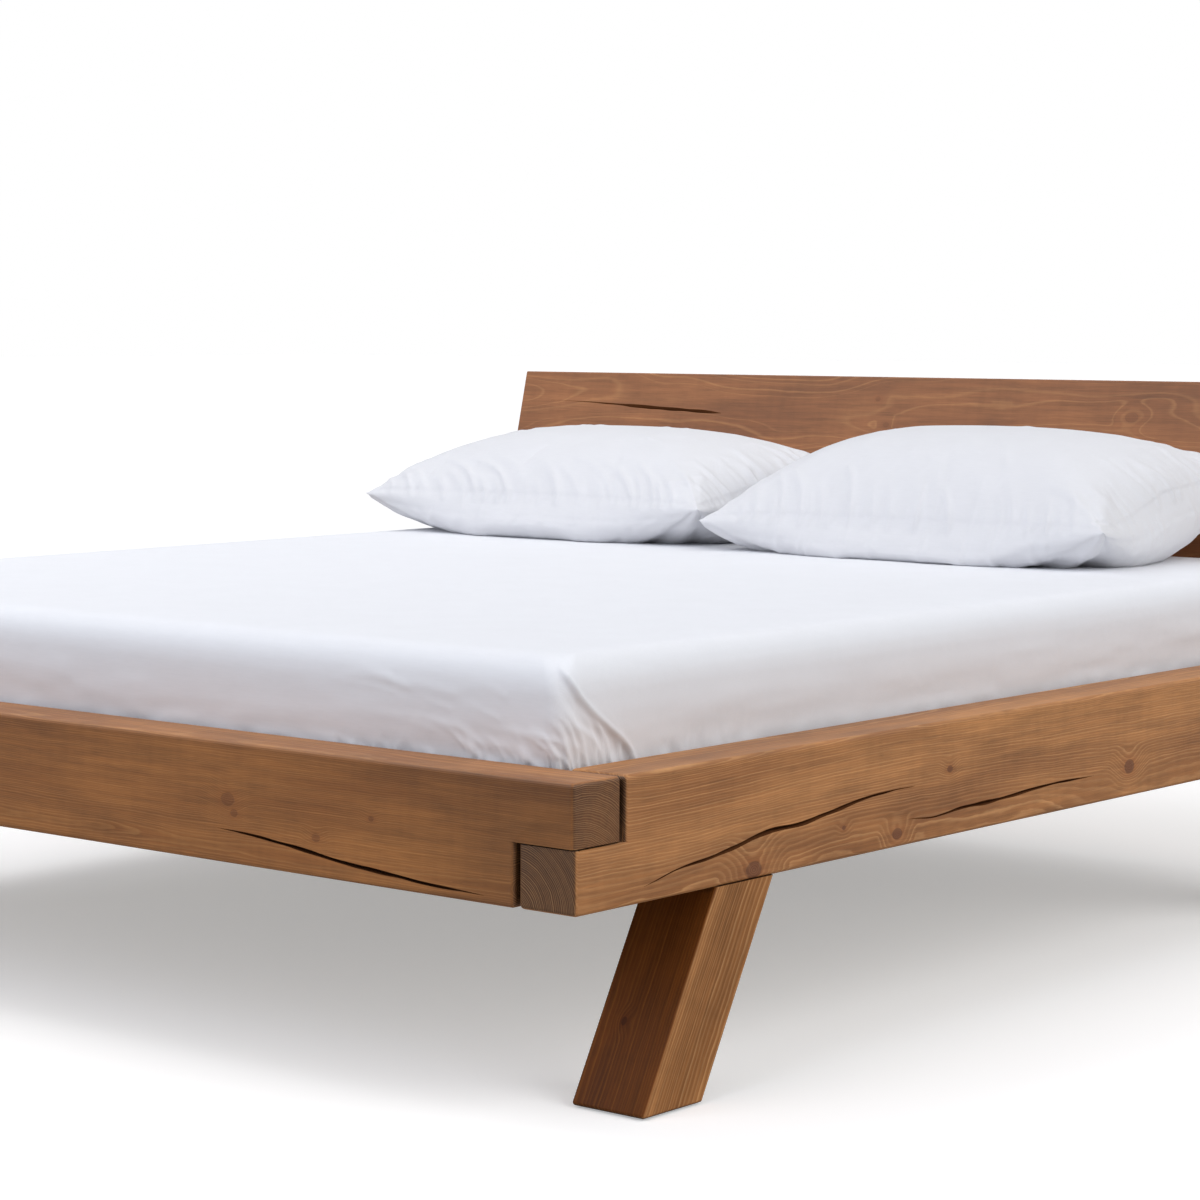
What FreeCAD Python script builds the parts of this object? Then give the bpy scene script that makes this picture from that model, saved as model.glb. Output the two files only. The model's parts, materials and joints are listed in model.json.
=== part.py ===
import FreeCAD, Part
import math
import os
import Sketcher

# A beam bed: four heavy half-lapped timbers on leaning legs, with a leaning headboard, a slatted base,
# a mattress in a fitted sheet and two pillows. Millimetres and degrees.
# +X is the right side seen from the foot end, +Y runs from foot to head, and +Z is up.
# The origin is on the floor, in the middle of the whole bed's footprint.

DRIVING = {
    # mattress
    "mattress_width": 1800,
    "mattress_length": 2000,
    "mattress_height": 200,
    "mattress_corner_rounding": 60,
    "mattress_edge_rounding": 32,
    "mattress_play": 10,
    "mattress_foot_play": 3,
    # fitted sheet
    "sheet_thickness": 1,
    "sheet_turn_under": 110,
    "soft_clearance": 0.3,
    # beams and their half-laps
    "beam_thickness": 90,
    "beam_height": 160,
    "beam_rounding": 6,
    "lap_gap": 2,
    "lap_end_gap": 6,
    "lap_end_inset": 2.5,
    "corner_pad_margin": 12,
    "corner_dowel_offset": 24,
    "corner_screw_cover": 17.5,
    "counterbore_radius": 17,
    "counterbore_depth": 25,
    # legs
    "floor_clearance": 270,
    "leg_depth": 105,
    "leg_lean": 28.7,
    "leg_setback": 128,
    "leg_rounding": 4,
    "leg_tongue_thickness": 25,
    "leg_tongue_height": 40,
    "leg_screw_spread": 32,
    "leg_dowel_spread": 21,
    "leg_dowel_inset": 26,
    "glide_thickness": 2.5,
    "glide_radius": 38,
    # lag screws, washers and dowels
    "lag_radius": 5,
    "lag_head_across_flats": 17,
    "lag_head_height": 6.4,
    "lag_tip_length": 8,
    "washer_radius": 15,
    "washer_thickness": 2.5,
    "dowel_radius": 8,
    "dowel_length": 78,
    "hole_play": 0.1,
    "hole_end_play": 1,
    "wood_between": 10,
    "tip_radius_share": 0.25,
    # wood screws
    "screw_radius": 2.5,
    "screw_head_radius": 5,
    "screw_head_height": 2.6,
    "screw_tip_length": 5,
    "plate_screw_length": 34,
    "ledge_screw_length": 50,
    # headboard
    "headboard_rise": 437,
    "headboard_lean": 13.7,
    "headboard_thickness": 45,
    "headboard_overhang": 10,
    "headboard_rounding": 3,
    "headboard_lower_height": 225,
    "board_dowel_radius": 6,
    "board_dowel_length": 60,
    # headboard brackets
    "bracket_width": 60,
    "bracket_plate": 4,
    "bracket_foot_length": 42,
    "bracket_back_length": 140,
    "bracket_foot_screw_reach": 28,
    "bracket_foot_screw_spread": 18,
    "bracket_back_screw_low": 50,
    "bracket_back_screw_pitch": 34,
    "bracket_end_distance": 260,
    # ledges
    "ledge_width": 30,
    "ledge_height": 32,
    "ledge_end_play": 3,
    "ledge_screw_end_distance": 150,
    # centre beam, hangers and centre leg
    "centre_beam_width": 60,
    "centre_beam_height": 68,
    "centre_beam_end_play": 3,
    "centre_beam_rounding": 3,
    "hanger_plate": 2,
    "hanger_play": 0.3,
    "hanger_depth": 50,
    "hanger_height": 56,
    "hanger_flange_width": 25,
    "hanger_flange_rise": 4.5,
    "hanger_screw_rise": 16,
    "hanger_screw_pitch": 28,
    "centre_leg_width": 60,
    "centre_leg_behind_middle": 90,
    "centre_leg_glide_radius": 24,
    "stud_length": 90,
    # slatted base
    "slat_width": 70,
    "slat_thickness": 22,
    "slat_rounding": 3,
    "slat_end_play": 10,
    "slat_row_play": 8,
    "tape_width": 25,
    "tape_thickness": 1.5,
    "tape_from_middle": 600,
    "staple_width": 11,
    "staple_wire": 1.2,
    "staple_leg_length": 9,
    "staple_spread": 20,
    # pillows
    "pillow_width": 826,
    "pillow_depth": 500,
    "pillow_left_height": 195,
    "pillow_right_height": 212,
    "pillow_left_tilt": 4.5,
    "pillow_right_tilt": 7.5,
    "pillow_left_from_middle": 494,
    "pillow_right_from_middle": 342,
    "pillow_left_from_head": 243,
    "pillow_right_from_head": 255,
}

WORKED_OUT = {
    "inner_half_width": "Size.mattress_width / 2 + Size.mattress_play",
    "half_width": "Place.inner_half_width + Size.beam_thickness",
    "frame_length": "Size.mattress_length + 2 * Size.mattress_play + 2 * Size.beam_thickness",
    "headboard_run": "Size.headboard_thickness / cos(Size.headboard_lean)",
    "headboard_length": "Size.headboard_rise / cos(Size.headboard_lean)",
    "headboard_top_y": "Place.frame_length - Size.beam_thickness - Size.headboard_overhang"
    " + Size.headboard_rise * tan(Size.headboard_lean)",
    "overall_length": "Place.headboard_top_y + Size.headboard_thickness * cos(Size.headboard_lean)",
    "foot_y": "-Place.overall_length / 2",
    "head_y": "Place.foot_y + Place.frame_length",
    "foot_inner_y": "Place.foot_y + Size.beam_thickness",
    "head_inner_y": "Place.head_y - Size.beam_thickness",
    "beam_top_z": "Size.floor_clearance + Size.beam_height",
    "lap_z": "Size.floor_clearance + Size.beam_height / 2",
    "upper_half_z": "Place.lap_z + Size.lap_gap / 2",
    "lower_half_z": "Place.lap_z - Size.lap_gap / 2",
    "leg_width": "Size.beam_thickness + Size.leg_tongue_thickness",
    "leg_run": "Size.leg_depth / cos(Size.leg_lean)",
    "leg_inner_x": "Place.inner_half_width - Size.leg_tongue_thickness",
    "ledge_z": "Size.floor_clearance + Size.leg_tongue_height",
    "ledge_inner_x": "Place.inner_half_width - Size.ledge_width",
    "slat_z": "Place.ledge_z + Size.ledge_height",
    "deck_z": "Place.slat_z + Size.slat_thickness",
    "sheet_z": "Place.deck_z + Size.soft_clearance",
    "mattress_z": "Place.sheet_z + Size.sheet_thickness",
    "mattress_top_z": "Place.mattress_z + Size.mattress_height",
    "mattress_y": "Place.foot_inner_y + Size.mattress_foot_play",
    "pillow_z": "Place.mattress_top_z + Size.sheet_thickness + Size.soft_clearance",
    "corner_x": "Place.half_width - Size.beam_thickness / 2",
    "counterbore_z": "Size.floor_clearance + Size.counterbore_depth",
    "corner_screw_length": "Place.beam_top_z - Size.corner_screw_cover - Place.counterbore_z"
    " + Size.washer_thickness",
    "leg_screw_z": "Size.floor_clearance + Size.leg_tongue_height / 2",
    "leg_screw_length": "Size.leg_tongue_thickness + Size.washer_thickness + Size.beam_thickness"
    " - Size.leg_dowel_inset - Size.dowel_radius - Size.wood_between",
    "board_y": "Place.head_inner_y - Size.headboard_overhang",
    "bracket_y": "Place.board_y + Place.headboard_run",
    "centre_beam_z": "Place.slat_z - Size.centre_beam_height",
    "middle_y": "(Place.foot_y + Place.head_y) / 2",
    "centre_leg_y": "Place.middle_y + Size.centre_leg_behind_middle",
    "slat_half_length": "Place.inner_half_width - Size.slat_end_play",
    "hanger_half_width": "Size.centre_beam_width / 2 + Size.hanger_play + Size.hanger_plate",
}

SLATS = 15
LEDGE_SCREWS = 6
BRACKET_BACK_SCREWS = 3
BRACKET_NAMES = ("left", "centre", "right")
BOARD_DOWEL_SHARES = (0.33, 0.83)
SAME_PLACE = 1e-6
CUBIC_MM_PER_DM3 = 1e6

X_AXIS = FreeCAD.Vector(1, 0, 0)
Y_AXIS = FreeCAD.Vector(0, 1, 0)
CORNERS = [(end, side) for end in ("foot", "head") for side in ("left", "right")]
SIDE_SIGN = {"left": -1, "right": 1}
END_SIGN = {"foot": 1, "head": -1}

doc = FreeCAD.newDocument("beam_bed")
nodes = []


def fill_sheet(name, cells):
    """One spreadsheet: each alias with its number or formula."""
    sheet = doc.addObject("Spreadsheet::Sheet", name)
    for row, (alias, content) in enumerate(cells.items(), start=1):
        sheet.set(f"A{row}", alias)
        sheet.set(f"B{row}", content if isinstance(content, str) else str(content))
        sheet.setAlias(f"B{row}", alias)
    return sheet


size_sheet = fill_sheet("Size", DRIVING)
place_sheet = fill_sheet("Place", {alias: f"={formula}" for alias, formula in WORKED_OUT.items()})
doc.recompute()


def value(formula):
    """The number that a formula of the sheets' cells gives."""
    return float(place_sheet.evalExpression(formula))


def near(a, b):
    return math.isclose(a, b, abs_tol=SAME_PLACE)


# Helpers for the document's objects


def node(piece, name):
    """Makes a document object one of the bed's named pieces."""
    piece.Label = name
    nodes.append(piece)
    return piece


def bind(piece, **sizes):
    for prop, formula in sizes.items():
        piece.setExpression(prop, formula)
    return piece


def place(piece, x="0", y="0", z="0", axis=None, angle=None):
    """Puts a piece at x, y, z, turned about an axis by an angle; all but the axis are formulas."""
    if axis is not None:
        piece.Placement = FreeCAD.Placement(FreeCAD.Vector(), FreeCAD.Rotation(axis, value(angle)))
        piece.setExpression("Placement.Rotation.Angle", angle)
    for direction, formula in (("x", x), ("y", y), ("z", z)):
        piece.setExpression(f"Placement.Base.{direction}", formula)
    return piece


def box(name, length, width, height, x="0", y="0", z="0"):
    piece = doc.addObject("Part::Box", name)
    return place(bind(piece, Length=length, Width=width, Height=height), x, y, z)


def cylinder(name, radius, height, x="0", y="0", z="0"):
    piece = doc.addObject("Part::Cylinder", name)
    return place(bind(piece, Radius=radius, Height=height), x, y, z)


def fuse(name, pieces):
    piece = doc.addObject("Part::MultiFuse", name)
    piece.Shapes = pieces
    return piece


def group(name, pieces):
    piece = doc.addObject("Part::Compound", name)
    piece.Links = pieces
    return piece


def cut(name, base, tool):
    piece = doc.addObject("Part::Cut", name)
    piece.Base = base
    piece.Tool = tool
    return piece


def copies(name, master, places):
    """One group of copies of a master piece; each place is the keywords of place()."""
    links = []
    for index, where in enumerate(places, start=1):
        link = doc.addObject("App::Link", f"{name}_{index}")
        link.setLink(master)
        link.LinkTransform = False
        links.append(place(link, **where))
    return group(name, links)


def new_body(name):
    return doc.addObject("PartDesign::Body", name)


def outline(body, plane, corners):
    """A closed outline of straight lines on one of the body's own planes; corners are formula pairs."""
    sketch = body.newObject("Sketcher::SketchObject", f"{body.Name}_outline")
    origin_plane = [item for item in body.Origin.OriginFeatures if item.Role == plane][0]
    sketch.AttachmentSupport = (origin_plane, [""])
    sketch.MapMode = "FlatFace"
    points = [FreeCAD.Vector(value(across), value(up), 0) for across, up in corners]
    count = len(points)
    for index, point in enumerate(points):
        sketch.addGeometry(Part.LineSegment(point, points[(index + 1) % count]))
    for index in range(count):
        sketch.addConstraint(Sketcher.Constraint("Coincident", index, 2, (index + 1) % count, 1))
    for index, (across, up) in enumerate(corners):
        for kind, formula in (("DistanceX", across), ("DistanceY", up)):
            number = sketch.addConstraint(Sketcher.Constraint(kind, -1, 1, index, 1, value(formula)))
            sketch.setExpression(f"Constraints[{number}]", formula)
    return sketch


def pad(body, plane, corners, length, reverse=False):
    sketch = outline(body, plane, corners)
    feature = body.newObject("PartDesign::Pad", f"{body.Name}_pad")
    feature.Profile = sketch
    feature.Reversed = reverse
    return bind(feature, Length=length)


def rectangle(low_across, low_up, high_across, high_up):
    return [(low_across, low_up), (high_across, low_up), (high_across, high_up), (low_across, high_up)]


def round_edges(body, radius, wanted):
    """Rounds the edges of the body's last feature that wanted(edge) picks."""
    doc.recompute()
    base = body.Tip
    picked = [f"Edge{i}" for i, edge in enumerate(base.Shape.Edges, start=1) if wanted(edge)]
    feature = body.newObject("PartDesign::Fillet", f"{body.Name}_rounding")
    feature.Base = (base, picked)
    return bind(feature, Radius=radius)


def spaced(first, last, count):
    """Formulas of evenly spaced places between two formulas."""
    return [f"({first}) + (({last}) - ({first})) * {index} / {count - 1}" for index in range(count)]


# Fasteners: each master points along +Z, with its bearing face at zero


def lag_screw(name, length):
    head = doc.addObject("Part::Prism", f"{name}_head")
    head.Polygon = 6
    bind(head, Circumradius="Size.lag_head_across_flats / sqrt(3)", Height="Size.lag_head_height")
    place(head, z="-Size.lag_head_height")
    shank = cylinder(f"{name}_shank", "Size.lag_radius", f"{length} - Size.lag_tip_length")
    tip = doc.addObject("Part::Cone", f"{name}_tip")
    bind(
        tip,
        Radius1="Size.lag_radius",
        Radius2="Size.lag_radius * Size.tip_radius_share",
        Height="Size.lag_tip_length",
    )
    place(tip, z=f"{length} - Size.lag_tip_length")
    return fuse(name, [head, shank, tip])


def wood_screw(name, length, sunk):
    """A round-head screw whose head stands on the bearing face, or a sunk one that ends flush with it."""
    head = doc.addObject("Part::Cone", f"{name}_head")
    outer, inner = ("Size.screw_head_radius", "Size.screw_radius")
    bind(head, Radius1=outer, Radius2=inner, Height="Size.screw_head_height")
    if not sunk:
        bind(head, Radius1="(Size.screw_radius + Size.screw_head_radius) / 2", Radius2=outer)
        place(head, z="-Size.screw_head_height")
    shank = cylinder(f"{name}_shank", "Size.screw_radius", f"{length} - Size.screw_tip_length")
    tip = doc.addObject("Part::Cone", f"{name}_tip")
    bind(
        tip,
        Radius1="Size.screw_radius",
        Radius2="Size.screw_radius * Size.tip_radius_share",
        Height="Size.screw_tip_length",
    )
    place(tip, z=f"{length} - Size.screw_tip_length")
    return fuse(name, [head, shank, tip])


def hole_tool(name, radius, depth):
    """The hole that a round shank needs: as wide as it with its play, and a little deeper."""
    return cylinder(
        name,
        f"{radius} + Size.hole_play",
        f"{depth} + 2 * Size.hole_end_play",
        z="-Size.hole_end_play",
    )


def centred(name, radius, length):
    return group(f"{name}_centred", [cylinder(name, radius, length, z=f"-({length}) / 2")])


def rod_and_hole(name, radius, length):
    """A rod and the hole for it, both placed by their middles."""
    rod = centred(f"{name}_rod", radius, length)
    hole = centred(f"{name}_hole", f"{radius} + Size.hole_play", f"{length} + 2 * Size.hole_end_play")
    return rod, hole


corner_lag = lag_screw("corner_lag_master", "Place.corner_screw_length")
leg_lag = lag_screw("leg_lag_master", "Place.leg_screw_length")
plate_screw = wood_screw("plate_screw_master", "Size.plate_screw_length", sunk=False)
ledge_screw = wood_screw("ledge_screw_master", "Size.ledge_screw_length", sunk=True)
washer = cut(
    "washer_master",
    cylinder("washer_disc", "Size.washer_radius", "Size.washer_thickness"),
    hole_tool("washer_hole", "Size.lag_radius", "Size.washer_thickness"),
)
dowel, dowel_hole = rod_and_hole("dowel", "Size.dowel_radius", "Size.dowel_length")
board_dowel, board_dowel_hole = rod_and_hole(
    "board_dowel", "Size.board_dowel_radius", "Size.board_dowel_length"
)
stud, stud_hole = rod_and_hole("stud", "Size.lag_radius", "Size.stud_length")
corner_lag_hole = fuse(
    "corner_lag_hole",
    [
        hole_tool("corner_lag_bore", "Size.lag_radius", "Place.corner_screw_length"),
        cylinder(
            "corner_counterbore",
            "Size.counterbore_radius",
            "2 * Size.counterbore_depth",
            z="Size.washer_thickness - 2 * Size.counterbore_depth",
        ),
    ],
)
leg_lag_hole = hole_tool("leg_lag_hole", "Size.lag_radius", "Place.leg_screw_length")
plate_screw_hole = hole_tool("plate_screw_hole", "Size.screw_radius", "Size.plate_screw_length")
sink = doc.addObject("Part::Cone", "ledge_screw_sink")
bind(
    sink,
    Radius1="Size.screw_head_radius + Size.hole_play",
    Radius2="Size.screw_radius + Size.hole_play",
    Height="Size.screw_head_height",
)
ledge_screw_hole = fuse(
    "ledge_screw_hole",
    [hole_tool("ledge_screw_bore", "Size.screw_radius", "Size.ledge_screw_length"), sink],
)


def end_y(end, inward):
    """The place along the bed that lies that far in from the foot or head beam's outer face."""
    return f"Place.{end}_y + {END_SIGN[end]} * ({inward})"


# Places of the corner fasteners

corner_screw_places = [
    {
        "x": f"{SIDE_SIGN[side]} * Place.corner_x",
        "y": end_y(end, "Size.beam_thickness / 2"),
        "z": "Place.counterbore_z - Size.washer_thickness",
    }
    for end, side in CORNERS
]
corner_dowel_places = [
    {
        "x": f"{SIDE_SIGN[side]} * (Place.corner_x + {way} * Size.corner_dowel_offset)",
        "y": end_y(end, f"Size.beam_thickness / 2 - {way} * Size.corner_dowel_offset"),
        "z": "Place.lap_z",
    }
    for end, side in CORNERS
    for way in (-1, 1)
]

# Places of the leg fasteners. A leg's two faces lean by the same angle, and its middle leans with them.


def leg_setback_at(height):
    """How far in from the end beam's outer face a leg's outer leaning face is at that height."""
    return f"Size.leg_setback + (({height}) - Size.glide_thickness) * tan(Size.leg_lean)"


def leg_face_y(end, height, back=False):
    """Where a leg's outward or inward leaning face is at that height above the floor."""
    run = " + Place.leg_run" if back else ""
    return end_y(end, f"{leg_setback_at(height)}{run}")


def leg_middle(height):
    """How far in from the end beam's outer face the middle of a leg is at that height."""
    return f"{leg_setback_at(height)} + Place.leg_run / 2"


leg_screw_places = {
    (end, side): [
        {
            "x": f"{SIDE_SIGN[side]} * (Place.leg_inner_x - Size.washer_thickness)",
            "y": end_y(end, f"{leg_middle('Place.leg_screw_z')} + {way} * Size.leg_screw_spread"),
            "z": "Place.leg_screw_z",
            "axis": Y_AXIS,
            "angle": f"{SIDE_SIGN[side]} * 90",
        }
        for way in (-1, 1)
    ]
    for end, side in CORNERS
}
leg_dowel_places = {
    (end, side): [
        {
            "x": f"{SIDE_SIGN[side]} * (Place.half_width - Size.leg_dowel_inset)",
            "y": end_y(
                end,
                f"{leg_middle('Size.floor_clearance - Size.dowel_length / 4')}"
                f" + {way} * Size.leg_dowel_spread",
            ),
            "z": "Size.floor_clearance",
        }
        for way in (-1, 1)
    ]
    for end, side in CORNERS
}

# Places of the ledge screws

ledge_screw_places = {
    side: [
        {
            "x": f"{sign} * Place.ledge_inner_x",
            "y": along,
            "z": "Place.ledge_z + Size.ledge_height / 2",
            "axis": Y_AXIS,
            "angle": f"{sign} * 90",
        }
        for along in spaced(
            "Place.foot_inner_y + Size.ledge_screw_end_distance",
            "Place.head_inner_y - Size.ledge_screw_end_distance",
            LEDGE_SCREWS,
        )
    ]
    for side, sign in SIDE_SIGN.items()
}

# Places of the hanger screws

hanger_screw_places = {
    end: [
        {
            "x": f"{side} * (Place.hanger_half_width + Size.hanger_flange_width / 2)",
            "y": f"Place.{end}_inner_y + {END_SIGN[end]} * Size.hanger_plate",
            "z": "Place.centre_beam_z + Size.hanger_flange_rise + Size.hanger_screw_rise"
            f" + {step} * Size.hanger_screw_pitch",
            "axis": X_AXIS,
            "angle": f"{END_SIGN[end]} * 90",
        }
        for side in (-1, 1)
        for step in (0, 1)
    ]
    for end in END_SIGN
}

# Places on the leaning headboard: along is measured up its front face from the head beam's top,
# and through is measured square to that face, towards the wall


def board_point(along, through):
    return {
        "y": f"Place.board_y + ({along}) * sin(Size.headboard_lean) + ({through}) * cos(Size.headboard_lean)",
        "z": f"Place.beam_top_z + ({along}) * cos(Size.headboard_lean)"
        f" - ({through}) * sin(Size.headboard_lean)",
    }


bracket_x = {
    "left": "-(Place.half_width - Size.bracket_end_distance)",
    "centre": "0",
    "right": "Place.half_width - Size.bracket_end_distance",
}
board_dowel_x = [
    f"{way * share} * (Place.half_width - Size.bracket_end_distance)"
    for way in (-1, 1)
    for share in BOARD_DOWEL_SHARES
]
beam_board_dowel_places = [
    {
        "x": x,
        "y": "Place.board_y + Place.headboard_run / 2"
        " + Size.board_dowel_length / 4 * tan(Size.headboard_lean)",
        "z": "Place.beam_top_z",
    }
    for x in board_dowel_x
]
plank_dowel_places = [
    {
        "x": x,
        **board_point("Size.headboard_lower_height", "Size.headboard_thickness / 2"),
        "axis": X_AXIS,
        "angle": "-Size.headboard_lean",
    }
    for x in board_dowel_x
]
bracket_foot_screw_places = [
    {
        "x": f"{x} + {way} * Size.bracket_foot_screw_spread",
        "y": "Place.bracket_y + Size.bracket_foot_screw_reach",
        "z": "Place.beam_top_z + Size.bracket_plate",
        "axis": X_AXIS,
        "angle": "180",
    }
    for x in bracket_x.values()
    for way in (-1, 1)
]


def bracket_back_point(up, out):
    """A place on a bracket's back plate: up it from its heel, and out from the headboard's back."""
    return {
        "y": f"Place.bracket_y + ({up}) * sin(Size.headboard_lean) + ({out}) * cos(Size.headboard_lean)",
        "z": f"Place.beam_top_z + ({up}) * cos(Size.headboard_lean) - ({out}) * sin(Size.headboard_lean)",
    }


bracket_back_screw_places = [
    {
        "x": x,
        **bracket_back_point(
            f"Size.bracket_back_screw_low + {step} * Size.bracket_back_screw_pitch", "Size.bracket_plate"
        ),
        "axis": X_AXIS,
        "angle": "90 - Size.headboard_lean",
    }
    for x in bracket_x.values()
    for step in range(BRACKET_BACK_SCREWS)
]

# Foot beam and head beam: the upper half runs out to the corners over the side beams' lower halves


def end_beam(end):
    body = new_body(f"{end}_beam_timber")
    long_x = "Place.half_width - Size.lap_end_inset"
    short_x = "Place.inner_half_width - Size.lap_end_gap"
    corners = [
        (f"-({long_x})", "Place.upper_half_z"),
        (f"-({short_x})", "Place.upper_half_z"),
        (f"-({short_x})", "Size.floor_clearance"),
        (short_x, "Size.floor_clearance"),
        (short_x, "Place.upper_half_z"),
        (long_x, "Place.upper_half_z"),
        (long_x, "Place.beam_top_z"),
        (f"-({long_x})", "Place.beam_top_z"),
    ]
    pad(body, "XZ_Plane", corners, "Size.beam_thickness")
    round_edges(
        body, "Size.beam_rounding", lambda edge: not near(edge.CenterOfMass.z, value("Place.upper_half_z"))
    )
    place(body, y=f"Place.{end}_y" if end == "head" else "Place.foot_inner_y")
    tools = [
        copies(f"{end}_beam_lag_holes", corner_lag_hole, [
            where for where, (place_end, _) in zip(corner_screw_places, CORNERS) if place_end == end
        ]),
        copies(f"{end}_beam_dowel_holes", dowel_hole, [
            where for where in corner_dowel_places if f"Place.{end}_y" in where["y"]
        ]),
        copies(f"{end}_beam_hanger_holes", plate_screw_hole, hanger_screw_places[end]),
    ]
    if end == "head":
        tools.append(copies("head_beam_board_holes", board_dowel_hole, beam_board_dowel_places))
        tools.append(copies("head_beam_bracket_holes", plate_screw_hole, bracket_foot_screw_places))
    node(cut(f"{end}_beam_drilled", body, fuse(f"{end}_beam_tools", tools)), f"{end}_beam")


# Side beams: the lower half runs out to the corners


def side_beam(side):
    body = new_body(f"side_beam_{side}_timber")
    corners = [
        (end_y("foot", "Size.lap_end_inset"), "Size.floor_clearance"),
        (end_y("head", "Size.lap_end_inset"), "Size.floor_clearance"),
        (end_y("head", "Size.lap_end_inset"), "Place.lower_half_z"),
        ("Place.head_inner_y - Size.lap_end_gap", "Place.lower_half_z"),
        ("Place.head_inner_y - Size.lap_end_gap", "Place.beam_top_z"),
        ("Place.foot_inner_y + Size.lap_end_gap", "Place.beam_top_z"),
        ("Place.foot_inner_y + Size.lap_end_gap", "Place.lower_half_z"),
        (end_y("foot", "Size.lap_end_inset"), "Place.lower_half_z"),
    ]
    pad(body, "YZ_Plane", corners, "Size.beam_thickness")
    round_edges(
        body, "Size.beam_rounding", lambda edge: not near(edge.CenterOfMass.z, value("Place.lower_half_z"))
    )
    place(body, x="Place.inner_half_width" if side == "right" else "-Place.half_width")
    mine = [corner for corner in CORNERS if corner[1] == side]
    tools = [
        copies(f"side_beam_{side}_lag_holes", corner_lag_hole, [
            where for where, corner in zip(corner_screw_places, CORNERS) if corner in mine
        ]),
        copies(f"side_beam_{side}_dowel_holes", dowel_hole, [
            where for where, corner in zip(corner_dowel_places, [c for c in CORNERS for _ in range(2)])
            if corner in mine
        ]),
        copies(f"side_beam_{side}_leg_dowel_holes", dowel_hole, [
            where for corner in mine for where in leg_dowel_places[corner]
        ]),
        copies(f"side_beam_{side}_leg_screw_holes", leg_lag_hole, [
            where for corner in mine for where in leg_screw_places[corner]
        ]),
        copies(f"side_beam_{side}_ledge_holes", ledge_screw_hole, ledge_screw_places[side]),
    ]
    node(cut(f"side_beam_{side}_drilled", body, fuse(f"side_beam_{side}_tools", tools)), f"side_beam_{side}")


# Legs: a leaning post whose top carries the beam's underside, with a tongue behind the beam


def leg(end, side):
    body = new_body(f"leg_{end}_{side}_post")
    inward = side == "left"

    def leaning(low, high):
        return [
            (leg_face_y(end, low), low),
            (leg_face_y(end, low, back=True), low),
            (leg_face_y(end, high, back=True), high),
            (leg_face_y(end, high), high),
        ]

    post = leaning("Size.glide_thickness", "Size.floor_clearance")
    pad(body, "YZ_Plane", post, "Place.leg_width", inward)
    behind_beam = leaning("Size.floor_clearance", "Place.ledge_z")
    pad(body, "YZ_Plane", behind_beam, "Size.leg_tongue_thickness", inward)
    low = value("Size.glide_thickness")
    top = value("Size.floor_clearance")
    tongue = value("Size.leg_tongue_thickness")

    def rounded(edge):
        box_of_edge = edge.BoundBox
        at_foot = near(box_of_edge.ZMin, low) and near(box_of_edge.ZMax, low)
        leans = box_of_edge.ZLength > top / 2
        return at_foot or (leans and not near(abs(edge.CenterOfMass.x), tongue))

    round_edges(body, "Size.leg_rounding", rounded)
    place(body, x=f"{SIDE_SIGN[side]} * Place.leg_inner_x")
    tools = [
        copies(f"leg_{end}_{side}_screw_holes", leg_lag_hole, leg_screw_places[end, side]),
        copies(f"leg_{end}_{side}_dowel_holes", dowel_hole, leg_dowel_places[end, side]),
    ]
    node(cut(f"leg_{end}_{side}_drilled", body, fuse(f"leg_{end}_{side}_tools", tools)), f"leg_{end}_{side}")
    glide = cylinder(
        f"glide_{end}_{side}_disc",
        "Size.glide_radius",
        "Size.glide_thickness",
        x=f"{SIDE_SIGN[side]} * (Place.leg_inner_x + Place.leg_width / 2)",
        y=end_y(end, leg_middle("Size.glide_thickness")),
    )
    node(glide, f"glide_{end}_{side}")


for beam_end in END_SIGN:
    end_beam(beam_end)
for beam_side in SIDE_SIGN:
    side_beam(beam_side)
for leg_end, leg_side in CORNERS:
    leg(leg_end, leg_side)

# Corner pads: thin felt between the two halves of each lap

for corner_index, (pad_end, pad_side) in enumerate(CORNERS):
    pad_width = "Size.beam_thickness - 2 * Size.corner_pad_margin"
    felt = box(
        f"corner_pad_{pad_end}_{pad_side}_felt",
        pad_width,
        pad_width,
        "Size.lap_gap",
        x=f"{SIDE_SIGN[pad_side]} * Place.corner_x - ({pad_width}) / 2",
        y=f"{end_y(pad_end, 'Size.beam_thickness / 2')} - ({pad_width}) / 2",
        z="Place.lower_half_z",
    )
    pad_holes = fuse(
        f"corner_pad_{pad_end}_{pad_side}_tools",
        [
            copies(
                f"corner_pad_{pad_end}_{pad_side}_lag_hole",
                corner_lag_hole,
                corner_screw_places[corner_index:corner_index + 1],
            ),
            copies(
                f"corner_pad_{pad_end}_{pad_side}_dowel_holes",
                dowel_hole,
                corner_dowel_places[2 * corner_index:2 * corner_index + 2],
            ),
        ],
    )
    node(cut(f"corner_pad_{pad_end}_{pad_side}_holed", felt, pad_holes), f"corner_pad_{pad_end}_{pad_side}")

# Frame fasteners

all_leg_screws = [where for corner in CORNERS for where in leg_screw_places[corner]]
all_leg_dowels = [where for corner in CORNERS for where in leg_dowel_places[corner]]
node(copies("corner_screw_set", corner_lag, corner_screw_places), "corner_screws")
node(copies("leg_screw_set", leg_lag, all_leg_screws), "leg_screws")
node(copies("washer_set", washer, corner_screw_places + all_leg_screws), "lag_washers")
node(copies("dowel_set", dowel, corner_dowel_places + all_leg_dowels), "frame_dowels")

# Headboard: two leaning planks, the lower one cut level where it stands on the head beam


def board_corner(along, through):
    point = board_point(along, through)
    return point["y"], point["z"]


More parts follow.
